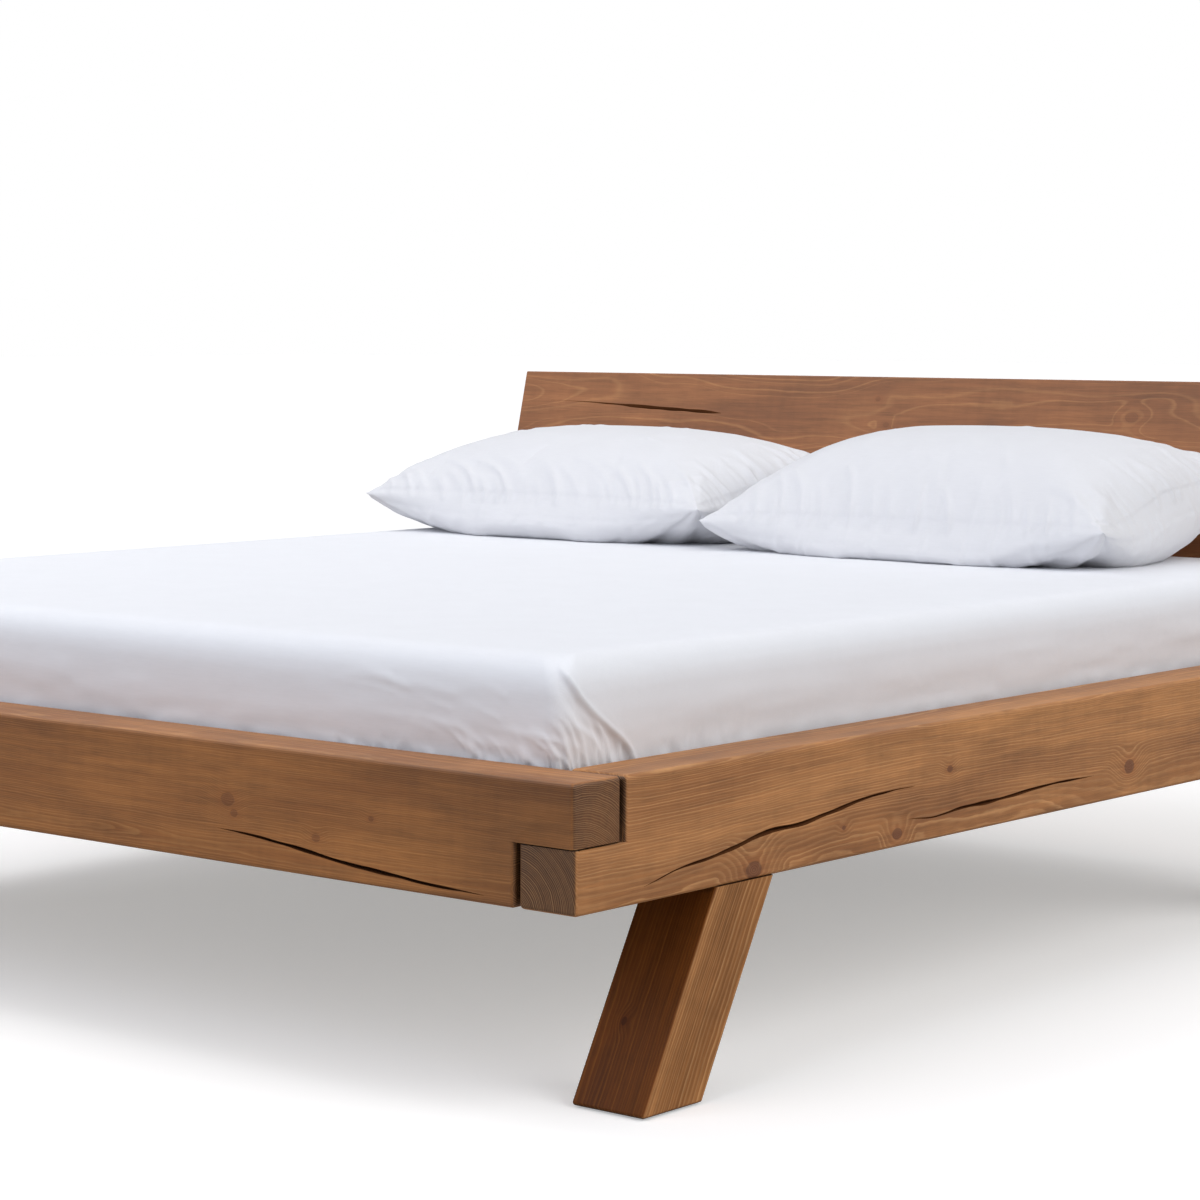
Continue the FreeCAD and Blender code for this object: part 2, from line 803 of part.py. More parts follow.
def plank(name, corners, tools):
    body = new_body(f"{name}_board")
    pad(body, "YZ_Plane", corners, "2 * Place.half_width")
    joint_z = [value(board_corner("Size.headboard_lower_height", through)[1])
               for through in ("0", "Size.headboard_thickness")]
    bottom_z = value("Place.beam_top_z")

    def rounded(edge):
        height = edge.CenterOfMass.z
        at_joint = min(joint_z) - SAME_PLACE < height < max(joint_z) + SAME_PLACE
        return not at_joint and not near(height, bottom_z)

    round_edges(body, "Size.headboard_rounding", rounded)
    place(body, x="-Place.half_width")
    node(cut(f"{name}_drilled", body, fuse(f"{name}_tools", tools)), name)


plank(
    "headboard_lower_plank",
    [
        ("Place.board_y", "Place.beam_top_z"),
        ("Place.board_y + Place.headboard_run", "Place.beam_top_z"),
        board_corner("Size.headboard_lower_height", "Size.headboard_thickness"),
        board_corner("Size.headboard_lower_height", "0"),
    ],
    [
        copies("lower_plank_beam_holes", board_dowel_hole, beam_board_dowel_places),
        copies("lower_plank_joint_holes", board_dowel_hole, plank_dowel_places),
        copies("lower_plank_bracket_holes", plate_screw_hole, bracket_back_screw_places),
    ],
)
plank(
    "headboard_upper_plank",
    [
        board_corner("Size.headboard_lower_height", "0"),
        board_corner("Size.headboard_lower_height", "Size.headboard_thickness"),
        board_corner("Place.headboard_length", "Size.headboard_thickness"),
        board_corner("Place.headboard_length", "0"),
    ],
    [copies("upper_plank_joint_holes", board_dowel_hole, plank_dowel_places)],
)
node(copies("board_dowel_set", board_dowel, beam_board_dowel_places + plank_dowel_places), "headboard_dowels")

# Headboard brackets: bent plates on the head beam's top and the headboard's back


def bracket(name):
    body = new_body(f"headboard_bracket_{name}_plate")
    inner_up = "Size.bracket_plate * (1 + sin(Size.headboard_lean)) / cos(Size.headboard_lean)"
    corners = [
        ("Place.bracket_y", "Place.beam_top_z"),
        ("Place.bracket_y + Size.bracket_foot_length", "Place.beam_top_z"),
        ("Place.bracket_y + Size.bracket_foot_length", "Place.beam_top_z + Size.bracket_plate"),
        tuple(bracket_back_point(inner_up, "Size.bracket_plate").values()),
        tuple(bracket_back_point("Size.bracket_back_length", "Size.bracket_plate").values()),
        tuple(bracket_back_point("Size.bracket_back_length", "0").values()),
    ]
    pad(body, "YZ_Plane", corners, "Size.bracket_width")
    place(body, x=f"{bracket_x[name]} - Size.bracket_width / 2")
    number = list(bracket_x).index(name)
    foot_screws = bracket_foot_screw_places[2 * number:2 * number + 2]
    back_screws = bracket_back_screw_places[BRACKET_BACK_SCREWS * number:BRACKET_BACK_SCREWS * (number + 1)]
    holes = fuse(
        f"headboard_bracket_{name}_tools",
        [
            copies(f"headboard_bracket_{name}_foot_holes", bracket_hole, foot_screws),
            copies(f"headboard_bracket_{name}_back_holes", bracket_hole, back_screws),
        ],
    )
    node(cut(f"headboard_bracket_{name}_drilled", body, holes), f"headboard_bracket_{name}")


bracket_hole = hole_tool("bracket_hole", "Size.screw_radius", "Size.bracket_plate")
for bracket_name in BRACKET_NAMES:
    bracket(bracket_name)
node(
    copies("bracket_screw_set", plate_screw, bracket_foot_screw_places + bracket_back_screw_places),
    "bracket_screws",
)

# Ledges along the side beams, on top of the leg tongues

for ledge_side, ledge_sign in SIDE_SIGN.items():
    strip = box(
        f"ledge_{ledge_side}_strip",
        "Size.ledge_width",
        "Place.head_inner_y - Place.foot_inner_y - 2 * Size.ledge_end_play",
        "Size.ledge_height",
        x="Place.ledge_inner_x" if ledge_side == "right" else "-Place.inner_half_width",
        y="Place.foot_inner_y + Size.ledge_end_play",
        z="Place.ledge_z",
    )
    strip_holes = copies(f"ledge_{ledge_side}_holes", ledge_screw_hole, ledge_screw_places[ledge_side])
    node(cut(f"ledge_{ledge_side}_drilled", strip, strip_holes), f"ledge_{ledge_side}")
node(
    copies("ledge_screw_set", ledge_screw, ledge_screw_places["left"] + ledge_screw_places["right"]),
    "ledge_screws",
)

# Centre beam, its hangers and its leg

centre_body = new_body("centre_beam_timber")
half_beam = "Size.centre_beam_width / 2"
pad(
    centre_body,
    "XZ_Plane",
    rectangle(f"-{half_beam}", "Place.centre_beam_z", half_beam, "Place.slat_z"),
    "Place.head_inner_y - Place.foot_inner_y - 2 * Size.centre_beam_end_play",
)
centre_long = value("Size.mattress_length")
round_edges(centre_body, "Size.centre_beam_rounding", lambda edge: edge.Length > centre_long / 2)
place(centre_body, y="Place.head_inner_y - Size.centre_beam_end_play")
stud_places = [{"y": "Place.centre_leg_y", "z": "Place.centre_beam_z"}]
beam_stud_hole = copies("centre_beam_hole", stud_hole, stud_places)
node(cut("centre_beam_drilled", centre_body, beam_stud_hole), "centre_beam")
leg_body = new_body("centre_leg_post")
half_post = "Size.centre_leg_width / 2"
pad(
    leg_body,
    "XZ_Plane",
    rectangle(f"-{half_post}", "Size.glide_thickness", half_post, "Place.centre_beam_z"),
    "Size.centre_leg_width",
)
post_height = value("Place.centre_beam_z - Size.glide_thickness")
round_edges(leg_body, "Size.centre_beam_rounding", lambda edge: near(edge.Length, post_height))
place(leg_body, y=f"Place.centre_leg_y + {half_post}")
leg_stud_hole = copies("centre_leg_hole", stud_hole, stud_places)
node(cut("centre_leg_drilled", leg_body, leg_stud_hole), "centre_leg")
node(copies("stud_set", stud, stud_places), "centre_leg_stud")
centre_glide = cylinder(
    "centre_leg_glide_disc", "Size.centre_leg_glide_radius", "Size.glide_thickness", y="Place.centre_leg_y"
)
node(centre_glide, "centre_leg_glide")


def hanger(end):
    """A bent steel shoe under the centre beam's end, with a flange each side on the end beam."""
    base_z = "Place.centre_beam_z - Size.hanger_play - Size.hanger_plate"
    shoe_y = "Place.foot_inner_y" if end == "foot" else "Place.head_inner_y - Size.hanger_depth"
    flange_y = "Place.foot_inner_y" if end == "foot" else "Place.head_inner_y - Size.hanger_plate"
    outer = "Place.hanger_half_width"
    plates = [
        box(
            f"hanger_{end}_floor",
            f"2 * {outer}",
            "Size.hanger_depth",
            "Size.hanger_plate",
            x=f"-{outer}",
            y=shoe_y,
            z=base_z,
        )
    ]
    sides = {
        "left": (f"-{outer}", f"-{outer} - Size.hanger_flange_width"),
        "right": (f"{outer} - Size.hanger_plate", f"{outer} - Size.hanger_plate"),
    }
    for side, (cheek_x, flange_x) in sides.items():
        cheek = box(
            f"hanger_{end}_cheek_{side}",
            "Size.hanger_plate",
            "Size.hanger_depth",
            "Size.hanger_flange_rise + Size.hanger_height + Size.hanger_play + Size.hanger_plate",
            x=cheek_x,
            y=shoe_y,
            z=base_z,
        )
        flange = box(
            f"hanger_{end}_flange_{side}",
            "Size.hanger_flange_width + Size.hanger_plate",
            "Size.hanger_plate",
            "Size.hanger_height",
            x=flange_x,
            y=flange_y,
            z="Place.centre_beam_z + Size.hanger_flange_rise",
        )
        plates += [cheek, flange]
    shoe = fuse(f"hanger_{end}_shoe", plates)
    shoe.Refine = True
    holes = copies(f"hanger_{end}_holes", hanger_hole, hanger_screw_places[end])
    node(cut(f"hanger_{end}_drilled", shoe, holes), f"centre_beam_hanger_{end}")


hanger_hole = hole_tool("hanger_hole", "Size.screw_radius", "Size.hanger_plate")
for hanger_end in END_SIGN:
    hanger(hanger_end)
node(
    copies("hanger_screw_set", plate_screw, hanger_screw_places["foot"] + hanger_screw_places["head"]),
    "hanger_screws",
)

# Slatted base: loose slats on two webbing tapes, each slat stapled to both

slat_starts = spaced(
    "Place.mattress_y + Size.slat_row_play",
    "Place.mattress_y + Size.mattress_length - Size.slat_row_play - Size.slat_width",
    SLATS,
)
for slat_index, slat_start in enumerate(slat_starts, start=1):
    slat_body = new_body(f"slat_{slat_index:02d}_strip")
    pad(
        slat_body,
        "YZ_Plane",
        rectangle("0", "0", "Size.slat_width", "Size.slat_thickness"),
        "2 * Place.slat_half_length",
    )
    slat_long = value("Place.slat_half_length")
    round_edges(slat_body, "Size.slat_rounding", lambda edge: edge.Length > slat_long)
    place(slat_body, x="-Place.slat_half_length", y=slat_start, z="Place.slat_z")
    node(slat_body, f"slat_{slat_index:02d}")
for tape_side, tape_sign in SIDE_SIGN.items():
    tape = box(
        f"base_tape_{tape_side}_strip",
        "Size.tape_width",
        f"({slat_starts[-1]}) - ({slat_starts[0]}) + Size.slat_width",
        "Size.tape_thickness",
        x=f"{tape_sign} * Size.tape_from_middle - Size.tape_width / 2",
        y=slat_starts[0],
        z="Place.slat_z - Size.tape_thickness",
    )
    node(tape, f"base_tape_{tape_side}")
staple_crown = box(
    "staple_crown",
    "Size.staple_width",
    "Size.staple_wire",
    "Size.staple_wire / 2",
    x="-Size.staple_width / 2",
    y="-Size.staple_wire / 2",
    z="-Size.staple_wire / 2",
)
staple_legs = [
    box(
        f"staple_leg_{number}",
        "Size.staple_wire / 2",
        "Size.staple_wire",
        "Size.staple_leg_length + Size.staple_wire / 2",
        x=f"{way} * (Size.staple_width - Size.staple_wire / 2) / 2 - Size.staple_wire / 4",
        y="-Size.staple_wire / 2",
        z="-Size.staple_wire / 2",
    )
    for number, way in enumerate((-1, 1), start=1)
]
staple = fuse("staple_master", [staple_crown, *staple_legs])
staple_places = [
    {
        "x": f"{tape_sign} * Size.tape_from_middle",
        "y": f"{slat_start} + Size.slat_width / 2 + {way} * Size.staple_spread",
        "z": "Place.slat_z - Size.tape_thickness",
    }
    for tape_sign in SIDE_SIGN.values()
    for slat_start in slat_starts
    for way in (-1, 1)
]
node(copies("staple_set", staple, staple_places), "tape_staples")

# Mattress and fitted sheet


def soft_block(name, grown):
    """The mattress's rounded block, grown on every side."""
    body = new_body(f"{name}_block")
    pad(
        body,
        "XY_Plane",
        rectangle(
            f"-Size.mattress_width / 2 - {grown}",
            f"-{grown}",
            f"Size.mattress_width / 2 + {grown}",
            f"Size.mattress_length + {grown}",
        ),
        f"Size.mattress_height + 2 * {grown}",
    )
    block_height = value(f"Size.mattress_height + 2 * {grown}")
    round_edges(
        body,
        f"Size.mattress_corner_rounding + {grown}",
        lambda edge: near(edge.Length, block_height),
    )
    round_edges(
        body,
        f"Size.mattress_edge_rounding + {grown}",
        lambda edge: near(edge.BoundBox.ZLength, 0),
    )
    return place(body, y="Place.mattress_y", z=f"Place.mattress_z - {grown}")


mattress = node(soft_block("mattress", "0"), "mattress")
sheet_block = soft_block("fitted_sheet", "Size.sheet_thickness")
sheet_opening = box(
    "fitted_sheet_opening",
    "Size.mattress_width - 2 * Size.sheet_turn_under",
    "Size.mattress_length - 2 * Size.sheet_turn_under",
    "Size.mattress_height",
    x="-Size.mattress_width / 2 + Size.sheet_turn_under",
    y="Place.mattress_y + Size.sheet_turn_under",
    z="Place.mattress_z - Size.mattress_height / 2",
)
hollow_sheet = cut("fitted_sheet_hollow", sheet_block, mattress)
node(cut("fitted_sheet_open", hollow_sheet, sheet_opening), "fitted_sheet")

# Pillows: crowned, with sides drawn in between four ears at the seam, and the back edge raised.
# Each row is one level: its height share and tilt share, the width and depth shares of its four
# corners, and the width share of its ends' middles and the depth share of its sides' middles.

PILLOW_LEVEL_SHARES = (
    (0.00, 0.00, 0.66, 0.52, 0.86, 0.94),
    (0.07, 0.15, 0.76, 0.66, 0.91, 0.97),
    (0.20, 0.50, 0.88, 0.83, 0.94, 0.97),
    (0.45, 1.00, 1.00, 1.00, 0.93, 0.92),
    (0.58, 1.00, 0.92, 0.89, 0.91, 0.88),
    (0.71, 1.00, 0.82, 0.75, 0.85, 0.80),
    (0.83, 1.00, 0.69, 0.60, 0.75, 0.69),
    (0.92, 0.90, 0.54, 0.44, 0.61, 0.53),
    (0.98, 0.70, 0.38, 0.28, 0.44, 0.35),
    (1.00, 0.60, 0.22, 0.14, 0.27, 0.18),
)


def pillow_level(half_width, half_depth, height, tilt, shares):
    """One closed wire of four arcs, tilted about the pillow's long middle line."""
    height_share, tilt_share, corner_width, corner_depth, end_width, side_depth = shares
    corners = [
        FreeCAD.Vector(across * half_width * corner_width, along * half_depth * corner_depth, 0)
        for across, along in ((-1, -1), (1, -1), (1, 1), (-1, 1))
    ]
    middles = [
        FreeCAD.Vector(0, -half_depth * side_depth, 0),
        FreeCAD.Vector(half_width * end_width, 0, 0),
        FreeCAD.Vector(0, half_depth * side_depth, 0),
        FreeCAD.Vector(-half_width * end_width, 0, 0),
    ]
    arcs = [
        Part.Arc(corner, middle, corners[(index + 1) % len(corners)]).toShape()
        for index, (corner, middle) in enumerate(zip(corners, middles))
    ]
    wire = Part.Wire(arcs)
    wire.Placement = FreeCAD.Placement(
        FreeCAD.Vector(0, 0, height * height_share), FreeCAD.Rotation(X_AXIS, tilt * tilt_share)
    )
    return wire


def pillow(side):
    levels = [
        pillow_level(
            value("Size.pillow_width") / 2,
            value("Size.pillow_depth") / 2,
            value(f"Size.pillow_{side}_height"),
            value(f"Size.pillow_{side}_tilt"),
            shares,
        )
        for shares in PILLOW_LEVEL_SHARES
    ]
    piece = doc.addObject("Part::Feature", f"pillow_{side}_form")
    piece.Shape = Part.makeLoft(levels, True, True)
    piece.Placement.Base = FreeCAD.Vector(
        SIDE_SIGN[side] * value(f"Size.pillow_{side}_from_middle"),
        value(f"Place.head_inner_y - Size.pillow_{side}_from_head"),
        value("Place.pillow_z"),
    )
    node(piece, f"pillow_{side}")


for pillow_side in SIDE_SIGN:
    pillow(pillow_side)

doc.recompute()

# Check and write

for item in doc.Objects:
    if "Invalid" in item.State or "Error" in item.State:
        raise SystemExit(f"{item.Name} failed: {item.State}")
os.makedirs("parts", exist_ok=True)
for piece in nodes:
    shape = piece.Shape
    if shape.isNull() or not shape.isValid() or shape.Volume <= 0:
        raise SystemExit(f"{piece.Label} has no valid solid")
    shape.exportStep(f"parts/{piece.Label}.step")
    print(f"{piece.Label}: {len(shape.Solids)} solids, {shape.Volume / CUBIC_MM_PER_DM3:.4f} dm3")
print(f"{len(nodes)} nodes")
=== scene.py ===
import json
from math import cos, pi, radians, sin, tan

import bmesh
import bpy
import numpy as np
from mathutils import Matrix, Vector


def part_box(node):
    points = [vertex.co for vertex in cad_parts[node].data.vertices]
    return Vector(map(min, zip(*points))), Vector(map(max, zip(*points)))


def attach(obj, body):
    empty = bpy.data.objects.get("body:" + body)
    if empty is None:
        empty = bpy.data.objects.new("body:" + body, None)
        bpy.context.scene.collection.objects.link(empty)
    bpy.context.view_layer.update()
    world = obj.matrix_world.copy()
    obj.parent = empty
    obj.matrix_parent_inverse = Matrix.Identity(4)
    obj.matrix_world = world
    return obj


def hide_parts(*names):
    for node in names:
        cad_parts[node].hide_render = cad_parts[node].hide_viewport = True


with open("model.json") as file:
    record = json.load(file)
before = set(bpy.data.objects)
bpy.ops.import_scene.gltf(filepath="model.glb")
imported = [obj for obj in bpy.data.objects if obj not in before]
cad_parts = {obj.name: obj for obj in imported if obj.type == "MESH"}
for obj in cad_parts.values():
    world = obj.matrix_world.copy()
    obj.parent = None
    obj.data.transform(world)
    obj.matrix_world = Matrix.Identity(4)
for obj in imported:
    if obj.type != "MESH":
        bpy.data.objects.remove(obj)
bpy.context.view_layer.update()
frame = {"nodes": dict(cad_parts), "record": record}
nodes = frame["nodes"]
scene = bpy.context.scene

# Places that the solids set, in metres

FOOT_Y, HEAD_Y = -1.12512, 1.07488
SIDE_X = 1.0
BEAM = 0.09
TOP_Z = 0.43
LEAN = radians(28.7)
BOARD_LEAN = radians(13.7)
BOARD_FACE_Y = HEAD_Y - BEAM - 0.010

X, Y, Z = Vector((1, 0, 0)), Vector((0, 1, 0)), Vector((0, 0, 1))


# Shader building


class Shader:
    """The node tree of a material, or of the world, built with short calls."""

    def __init__(self, name, kept_in=bpy.data.materials):
        self.owner = kept_in.new(name)
        self.owner.use_nodes = True
        self.tree = self.owner.node_tree
        self.tree.nodes.clear()

    @property
    def spot(self):
        """The place on the object, in metres."""
        return self.node("TexCoord")["Object"]

    def put(self, socket, content):
        if isinstance(content, bpy.types.NodeSocket):
            self.tree.links.new(content, socket)
        else:
            socket.default_value = content

    def node(self, kind, inputs=None, **settings):
        """Adds a node, and gives its outputs."""
        made = self.tree.nodes.new("ShaderNode" + kind)
        for key, content in settings.items():
            setattr(made, key, content)
        for key, content in (inputs or {}).items():
            self.put(made.inputs[key], content)
        return made.outputs

    def math(self, operation, *terms):
        return self.node("Math", dict(enumerate(terms)), operation=operation)[0]

    def plus(self, a, b):
        return self.math("ADD", a, b)

    def times(self, a, b):
        return self.math("MULTIPLY", a, b)

    def vector(self, operation, *terms):
        outputs = self.node("VectorMath", dict(enumerate(terms)), operation=operation)
        return outputs["Value" if operation in ("DOT_PRODUCT", "LENGTH") else "Vector"]

    def dot(self, vector, way):
        return self.vector("DOT_PRODUCT", vector, tuple(way))

    def scaled(self, vector, scale):
        return self.vector("MULTIPLY", vector, scale)

    def noise(self, vector, scale=1.0, detail=2.0, roughness=0.5, colour=False):
        inputs = {"Vector": vector, "Scale": scale, "Detail": detail, "Roughness": roughness}
        return self.node("TexNoise", inputs)[1 if colour else 0]

    def ramp(self, value, low, high, to_low=0.0, to_high=1.0, kind="SMOOTHSTEP"):
        inputs = {"Value": value, "From Min": low, "From Max": high, "To Min": to_low, "To Max": to_high}
        return self.node("MapRange", inputs, interpolation_type=kind)[0]

    def mix(self, share, a, b, blend="MIX"):
        inputs = {0: share, 6: a, 7: b}
        return self.node("Mix", inputs, data_type="RGBA", blend_type=blend)[2]

    def tinted(self, colour, tint):
        return self.mix(1.0, colour, tint, "MULTIPLY")

    def grey(self, value):
        return self.node("CombineColor", {"Red": value, "Green": value, "Blue": value})[0]

    def bump(self, height, distance, strength=1.0, normal=None):
        inputs = {"Height": height, "Distance": distance, "Strength": strength}
        if normal is not None:
            inputs["Normal"] = normal
        return self.node("Bump", inputs)[0]

    def finish(self, colour, roughness, normal, **extra):
        """The finished material; extra names more sockets of its surface shader."""
        inputs = {"Base Color": colour, "Roughness": roughness, "Normal": normal}
        inputs.update((key.replace("_", " "), content) for key, content in extra.items())
        surface = self.node("BsdfPrincipled", inputs)[0]
        self.node("OutputMaterial", {"Surface": surface})
        return self.owner


def linear(red, green, blue):
    """A colour given on the 0 to 255 display scale, as the shader wants it."""
    return tuple(
        share / 12.92 if share <= 0.04045 else ((share + 0.055) / 1.055) ** 2.4
        for share in (red / 255, green / 255, blue / 255)
    ) + (1.0,)


def wood(
    name, along, across, pith, tones, pitch=0.0028, wander=0.02, knots=(), line_share=0.28, line_from=0.35,
    end_oil_and_shade=0.5, painted_shade_face=None, painted_shade_ends=None, knot_way=Z, knot_share=0.85, seed=0.0, gloss=0.40,
):
    """Solid timber: rings round a wandering pith, knots, fibres, darker end grain, and painted shade on
    some faces, ends and joints.

    along is the grain, across one way square to it; pith is where the rings' middle lies, as the
    distances along across and along x across. tones are its deep, middle and pale colours, and pitch
    is the width of a ring. Each knot is (along, across, up, radius) on a face, and runs in along
    knot_way, given in those three directions. painted_shade_face is (the way it looks, the light it keeps)
    for a face painted with shade, as if less light fell on it, and painted_shade_ends (from, to, the light
    kept) deepens that painted shade towards its ends.
    """
    s = Shader(name)
    up = along.cross(across)
    spot = s.spot
    run, side, rise = (s.dot(spot, way) for way in (along, across, up))
    side, rise = s.math("SUBTRACT", side, pith[0]), s.math("SUBTRACT", rise, pith[1])
    place = s.node("CombineXYZ", {"X": run, "Y": side, "Z": rise})[0]
    place = s.vector("ADD", place, (seed, 0, 0))

    def grain(lengthwise, crosswise, detail=3.0, roughness=0.6, colour=False):
        """Noise drawn out along the grain; the two scales are per metre."""
        return s.noise(s.scaled(place, (lengthwise, crosswise, crosswise)), 1.0, detail, roughness, colour)

    # the pith wanders along the grain, and the rings waver a little
    broad = s.vector("SUBTRACT", grain(1.3, 5.0, 2.0, 0.5, True), (0.5, 0.5, 0.5))
    narrow = s.vector("SUBTRACT", grain(7.0, 26.0, 3.0, 0.55, True), (0.5, 0.5, 0.5))
    waver = 0.006
    bent = s.vector("ADD", place, s.scaled(broad, (0.0, 2 * wander, 2 * wander)))
    bent = s.vector("ADD", bent, s.scaled(narrow, (0.0, waver, waver)))
    radius = s.vector("LENGTH", s.scaled(bent, (0.0, 1.0, 1.0)))

    # knots push the rings aside; they are longer along the grain, and run right through
    nearest = None
    knot_scale = (1.35, 1.0, 1e5)
    knot_turn = tuple(Z.rotation_difference(knot_way).to_euler())
    for knot_run, knot_side, knot_rise, knot_radius in knots:
        middle = (knot_run + seed, knot_side - pith[0], knot_rise - pith[1])
        inputs = {"Vector": place, "Location": middle, "Rotation": knot_turn, "Scale": knot_scale}
        mapping = s.node("Mapping", inputs, vector_type="TEXTURE")
        reach = s.math("DIVIDE", s.vector("LENGTH", mapping[0]), knot_radius)
        reach = s.plus(reach, s.times(s.dot(narrow, (1, 1, 0)), 0.9))
        radius = s.plus(radius, s.ramp(reach, 0.0, 6.0, 1.6 * knot_radius, 0.0))
        nearest = reach if nearest is None else s.math("MINIMUM", nearest, reach)

    # rings of uneven width: a pale early band that deepens, and a dark edge at the year's end
    outwards = s.node("CombineXYZ", {"X": s.times(radius, 60.0)})[0]
    rings = s.plus(s.math("DIVIDE", radius, pitch), s.times(s.noise(outwards, 1.0, 1.0), 3.0))
    phase = s.math("FRACT", rings)
    own = s.node("TexWhiteNoise", {"W": s.math("FLOOR", rings)}, noise_dimensions="1D")[0]
    line = s.times(s.ramp(phase, line_from, 0.84), s.ramp(phase, 0.86, 1.0, 1.0, 0.0))
    line = s.times(line, s.ramp(own, 0.0, 1.0, 0.35, 1.0, "LINEAR"))
    dark_edge = s.times(s.ramp(phase, 0.0, 0.3, 1.0, 0.0), s.ramp(own, 0.3, 1.0, 0.2, 1.0))

    # fibres, streaks, blotches, pores and the faint shimmer across the grain
    fibre, streak, blotch = grain(22.0, 900.0), grain(5.0, 130.0), grain(9.0, 24.0, 4.0)
    patch = grain(2.2, 11.0, 3.0, 0.55)
    pore, shimmer = grain(55.0, 1500.0, 1.0, 0.5), grain(60.0, 9.0, 2.0, 0.5)
    deep, middle, pale = (linear(*tone) for tone in tones)
    colour = s.mix(s.ramp(patch, 0.30, 0.72), deep, middle)
    colour = s.mix(s.times(line, line_share), colour, pale)
    colour = s.mix(s.times(dark_edge, 0.24), colour, deep)
    tone = s.ramp(fibre, 0.25, 0.75, 0.87, 1.13)
    for pattern, *limits in (
        (streak, 0.25, 0.75, -0.14, 0.13),
        (blotch, 0.35, 0.75, 0.05, -0.12),
        (pore, 0.66, 0.8, 0.0, -0.22),
        (shimmer, 0.3, 0.7, -0.03, 0.03),
    ):
        tone = s.plus(tone, s.ramp(pattern, *limits))
    colour = s.tinted(colour, s.grey(tone))
    height = s.plus(s.times(line, 0.35), s.times(fibre, 0.8))

    if nearest is not None:
        halo = s.ramp(nearest, 0.7, 3.2, 0.42 * knot_share, 0.0)
        colour = s.mix(halo, colour, s.tinted(colour, linear(220, 176, 142)))
        turns = s.math("FRACT", s.times(nearest, 3.3))
        knot_tone = s.mix(s.ramp(turns, 0.2, 0.9), linear(120, 72, 42), linear(86, 49, 27))
        colour = s.mix(s.times(s.ramp(nearest, 0.75, 1.2, 1.0, 0.0), knot_share), colour, knot_tone)
        rim = s.times(s.ramp(nearest, 0.85, 1.05), s.ramp(nearest, 1.05, 1.35, 1.0, 0.0))
        colour = s.mix(s.times(rim, 0.6 * knot_share), colour, linear(60, 34, 23))
        height = s.math("SUBTRACT", height, s.times(rim, 0.8))

    # end grain drinks more oil; a low setting darkens it past that with painted shade
    facing = s.node("TexCoord")["Normal"]
    end = s.ramp(s.math("ABSOLUTE", s.dot(facing, along)), 0.55, 0.9)
    colour = s.mix(end, colour, s.tinted(colour, (end_oil_and_shade, end_oil_and_shade * 0.89, end_oil_and_shade * 0.80, 1.0)))
    colour = s.mix(s.times(s.times(line, end), 0.27), colour, pale)
    # painted shade: a face turned the given way is darkened and warmed as if it got less light, more so
    # near the ends
    if painted_shade_face is not None:
        way, share = painted_shade_face
        front = s.math("ABSOLUTE", s.dot(facing, way))
        shaded = s.tinted(colour, (share, share**1.4, share**2.3, 1.0))
        if painted_shade_ends is not None:
            start, stop, kept = painted_shade_ends
            painted_end_shade = s.ramp(s.math("ABSOLUTE", run), start, stop, 1.0, kept)
            shaded = s.tinted(shaded, s.grey(painted_end_shade))
        colour = s.mix(s.ramp(front, 0.3, 0.9), colour, shaded)

    # painted shade: the wood darkens in joints, gaps and recesses, where ambient occlusion finds it hidden
    painted_joint_shade = s.node("AmbientOcclusion", {"Distance": 0.012}, samples=4)["AO"]
    colour = s.tinted(colour, s.grey(s.ramp(painted_joint_shade, 0.1, 0.75, 0.22, 1.0)))
    normal = s.bump(grain(9.0, 30.0, 2.0, 0.5), 0.0012, 0.5)
    normal = s.bump(height, 0.00025, 0.7, normal)
    rough = s.ramp(patch, 0.2, 0.8, 0.47, 0.58)
    return s.finish(colour, rough, normal, IOR=1.45, Specular_IOR_Level=gloss)


def fabric(name, colour, thread=0.0011, crumple=0.0, roughness=0.88):
    """Plain weave: two sets of threads, with a soft crumple under them."""
    s = Shader(name)
    spot = s.spot
    threads = ((1, 0, 0.31), (0, 1, 0.47))
    waves = [s.math("SINE", s.dot(spot, (2 * pi / thread * part for part in way))) for way in threads]
    slub = s.noise(s.scaled(spot, (40.0, 420.0, 420.0)), 1.0, 2.0)
    soft = s.noise(spot, 14.0, 3.0, 0.55)
    tint = s.plus(s.ramp(slub, 0.3, 0.7, 0.985, 1.0), s.ramp(soft, 0.3, 0.7, -0.012, 0.0))
    shade = s.tinted(linear(*colour), s.grey(tint))
    normal = s.bump(s.noise(spot, 26.0, 4.0, 0.6), crumple, 0.5) if crumple else s.bump(soft, 0.004, 0.35)
    normal = s.bump(s.times(*waves), 0.00012, 0.5, normal)
    return s.finish(shade, roughness, normal, Sheen_Weight=0.04, Specular_IOR_Level=0.25)


def metal(name, colour, roughness, metallic):
    """Steel: plated where metallic is 1, painted where it is 0."""
    s = Shader(name)
    cloud = s.noise(s.spot, 160.0, 4.0, 0.6)
    speck = s.noise(s.spot, 2200.0, 2.0)
    shade = s.tinted(linear(*colour), s.grey(s.ramp(cloud, 0.25, 0.75, 0.82, 1.0)))
    rough = s.ramp(cloud, 0.25, 0.75, roughness - 0.06, roughness + 0.1)
    return s.finish(shade, rough, s.bump(speck, 0.00006, 0.6), Metallic=metallic)


def felt(name):
    s = Shader(name)
    fluff = s.noise(s.spot, 1300.0, 4.0, 0.7)
    shade = s.mix(s.ramp(fluff, 0.3, 0.7), linear(26, 24, 23), linear(42, 40, 39))
    return s.finish(shade, 0.95, s.bump(fluff, 0.0006, 0.8), Sheen_Weight=0.3)


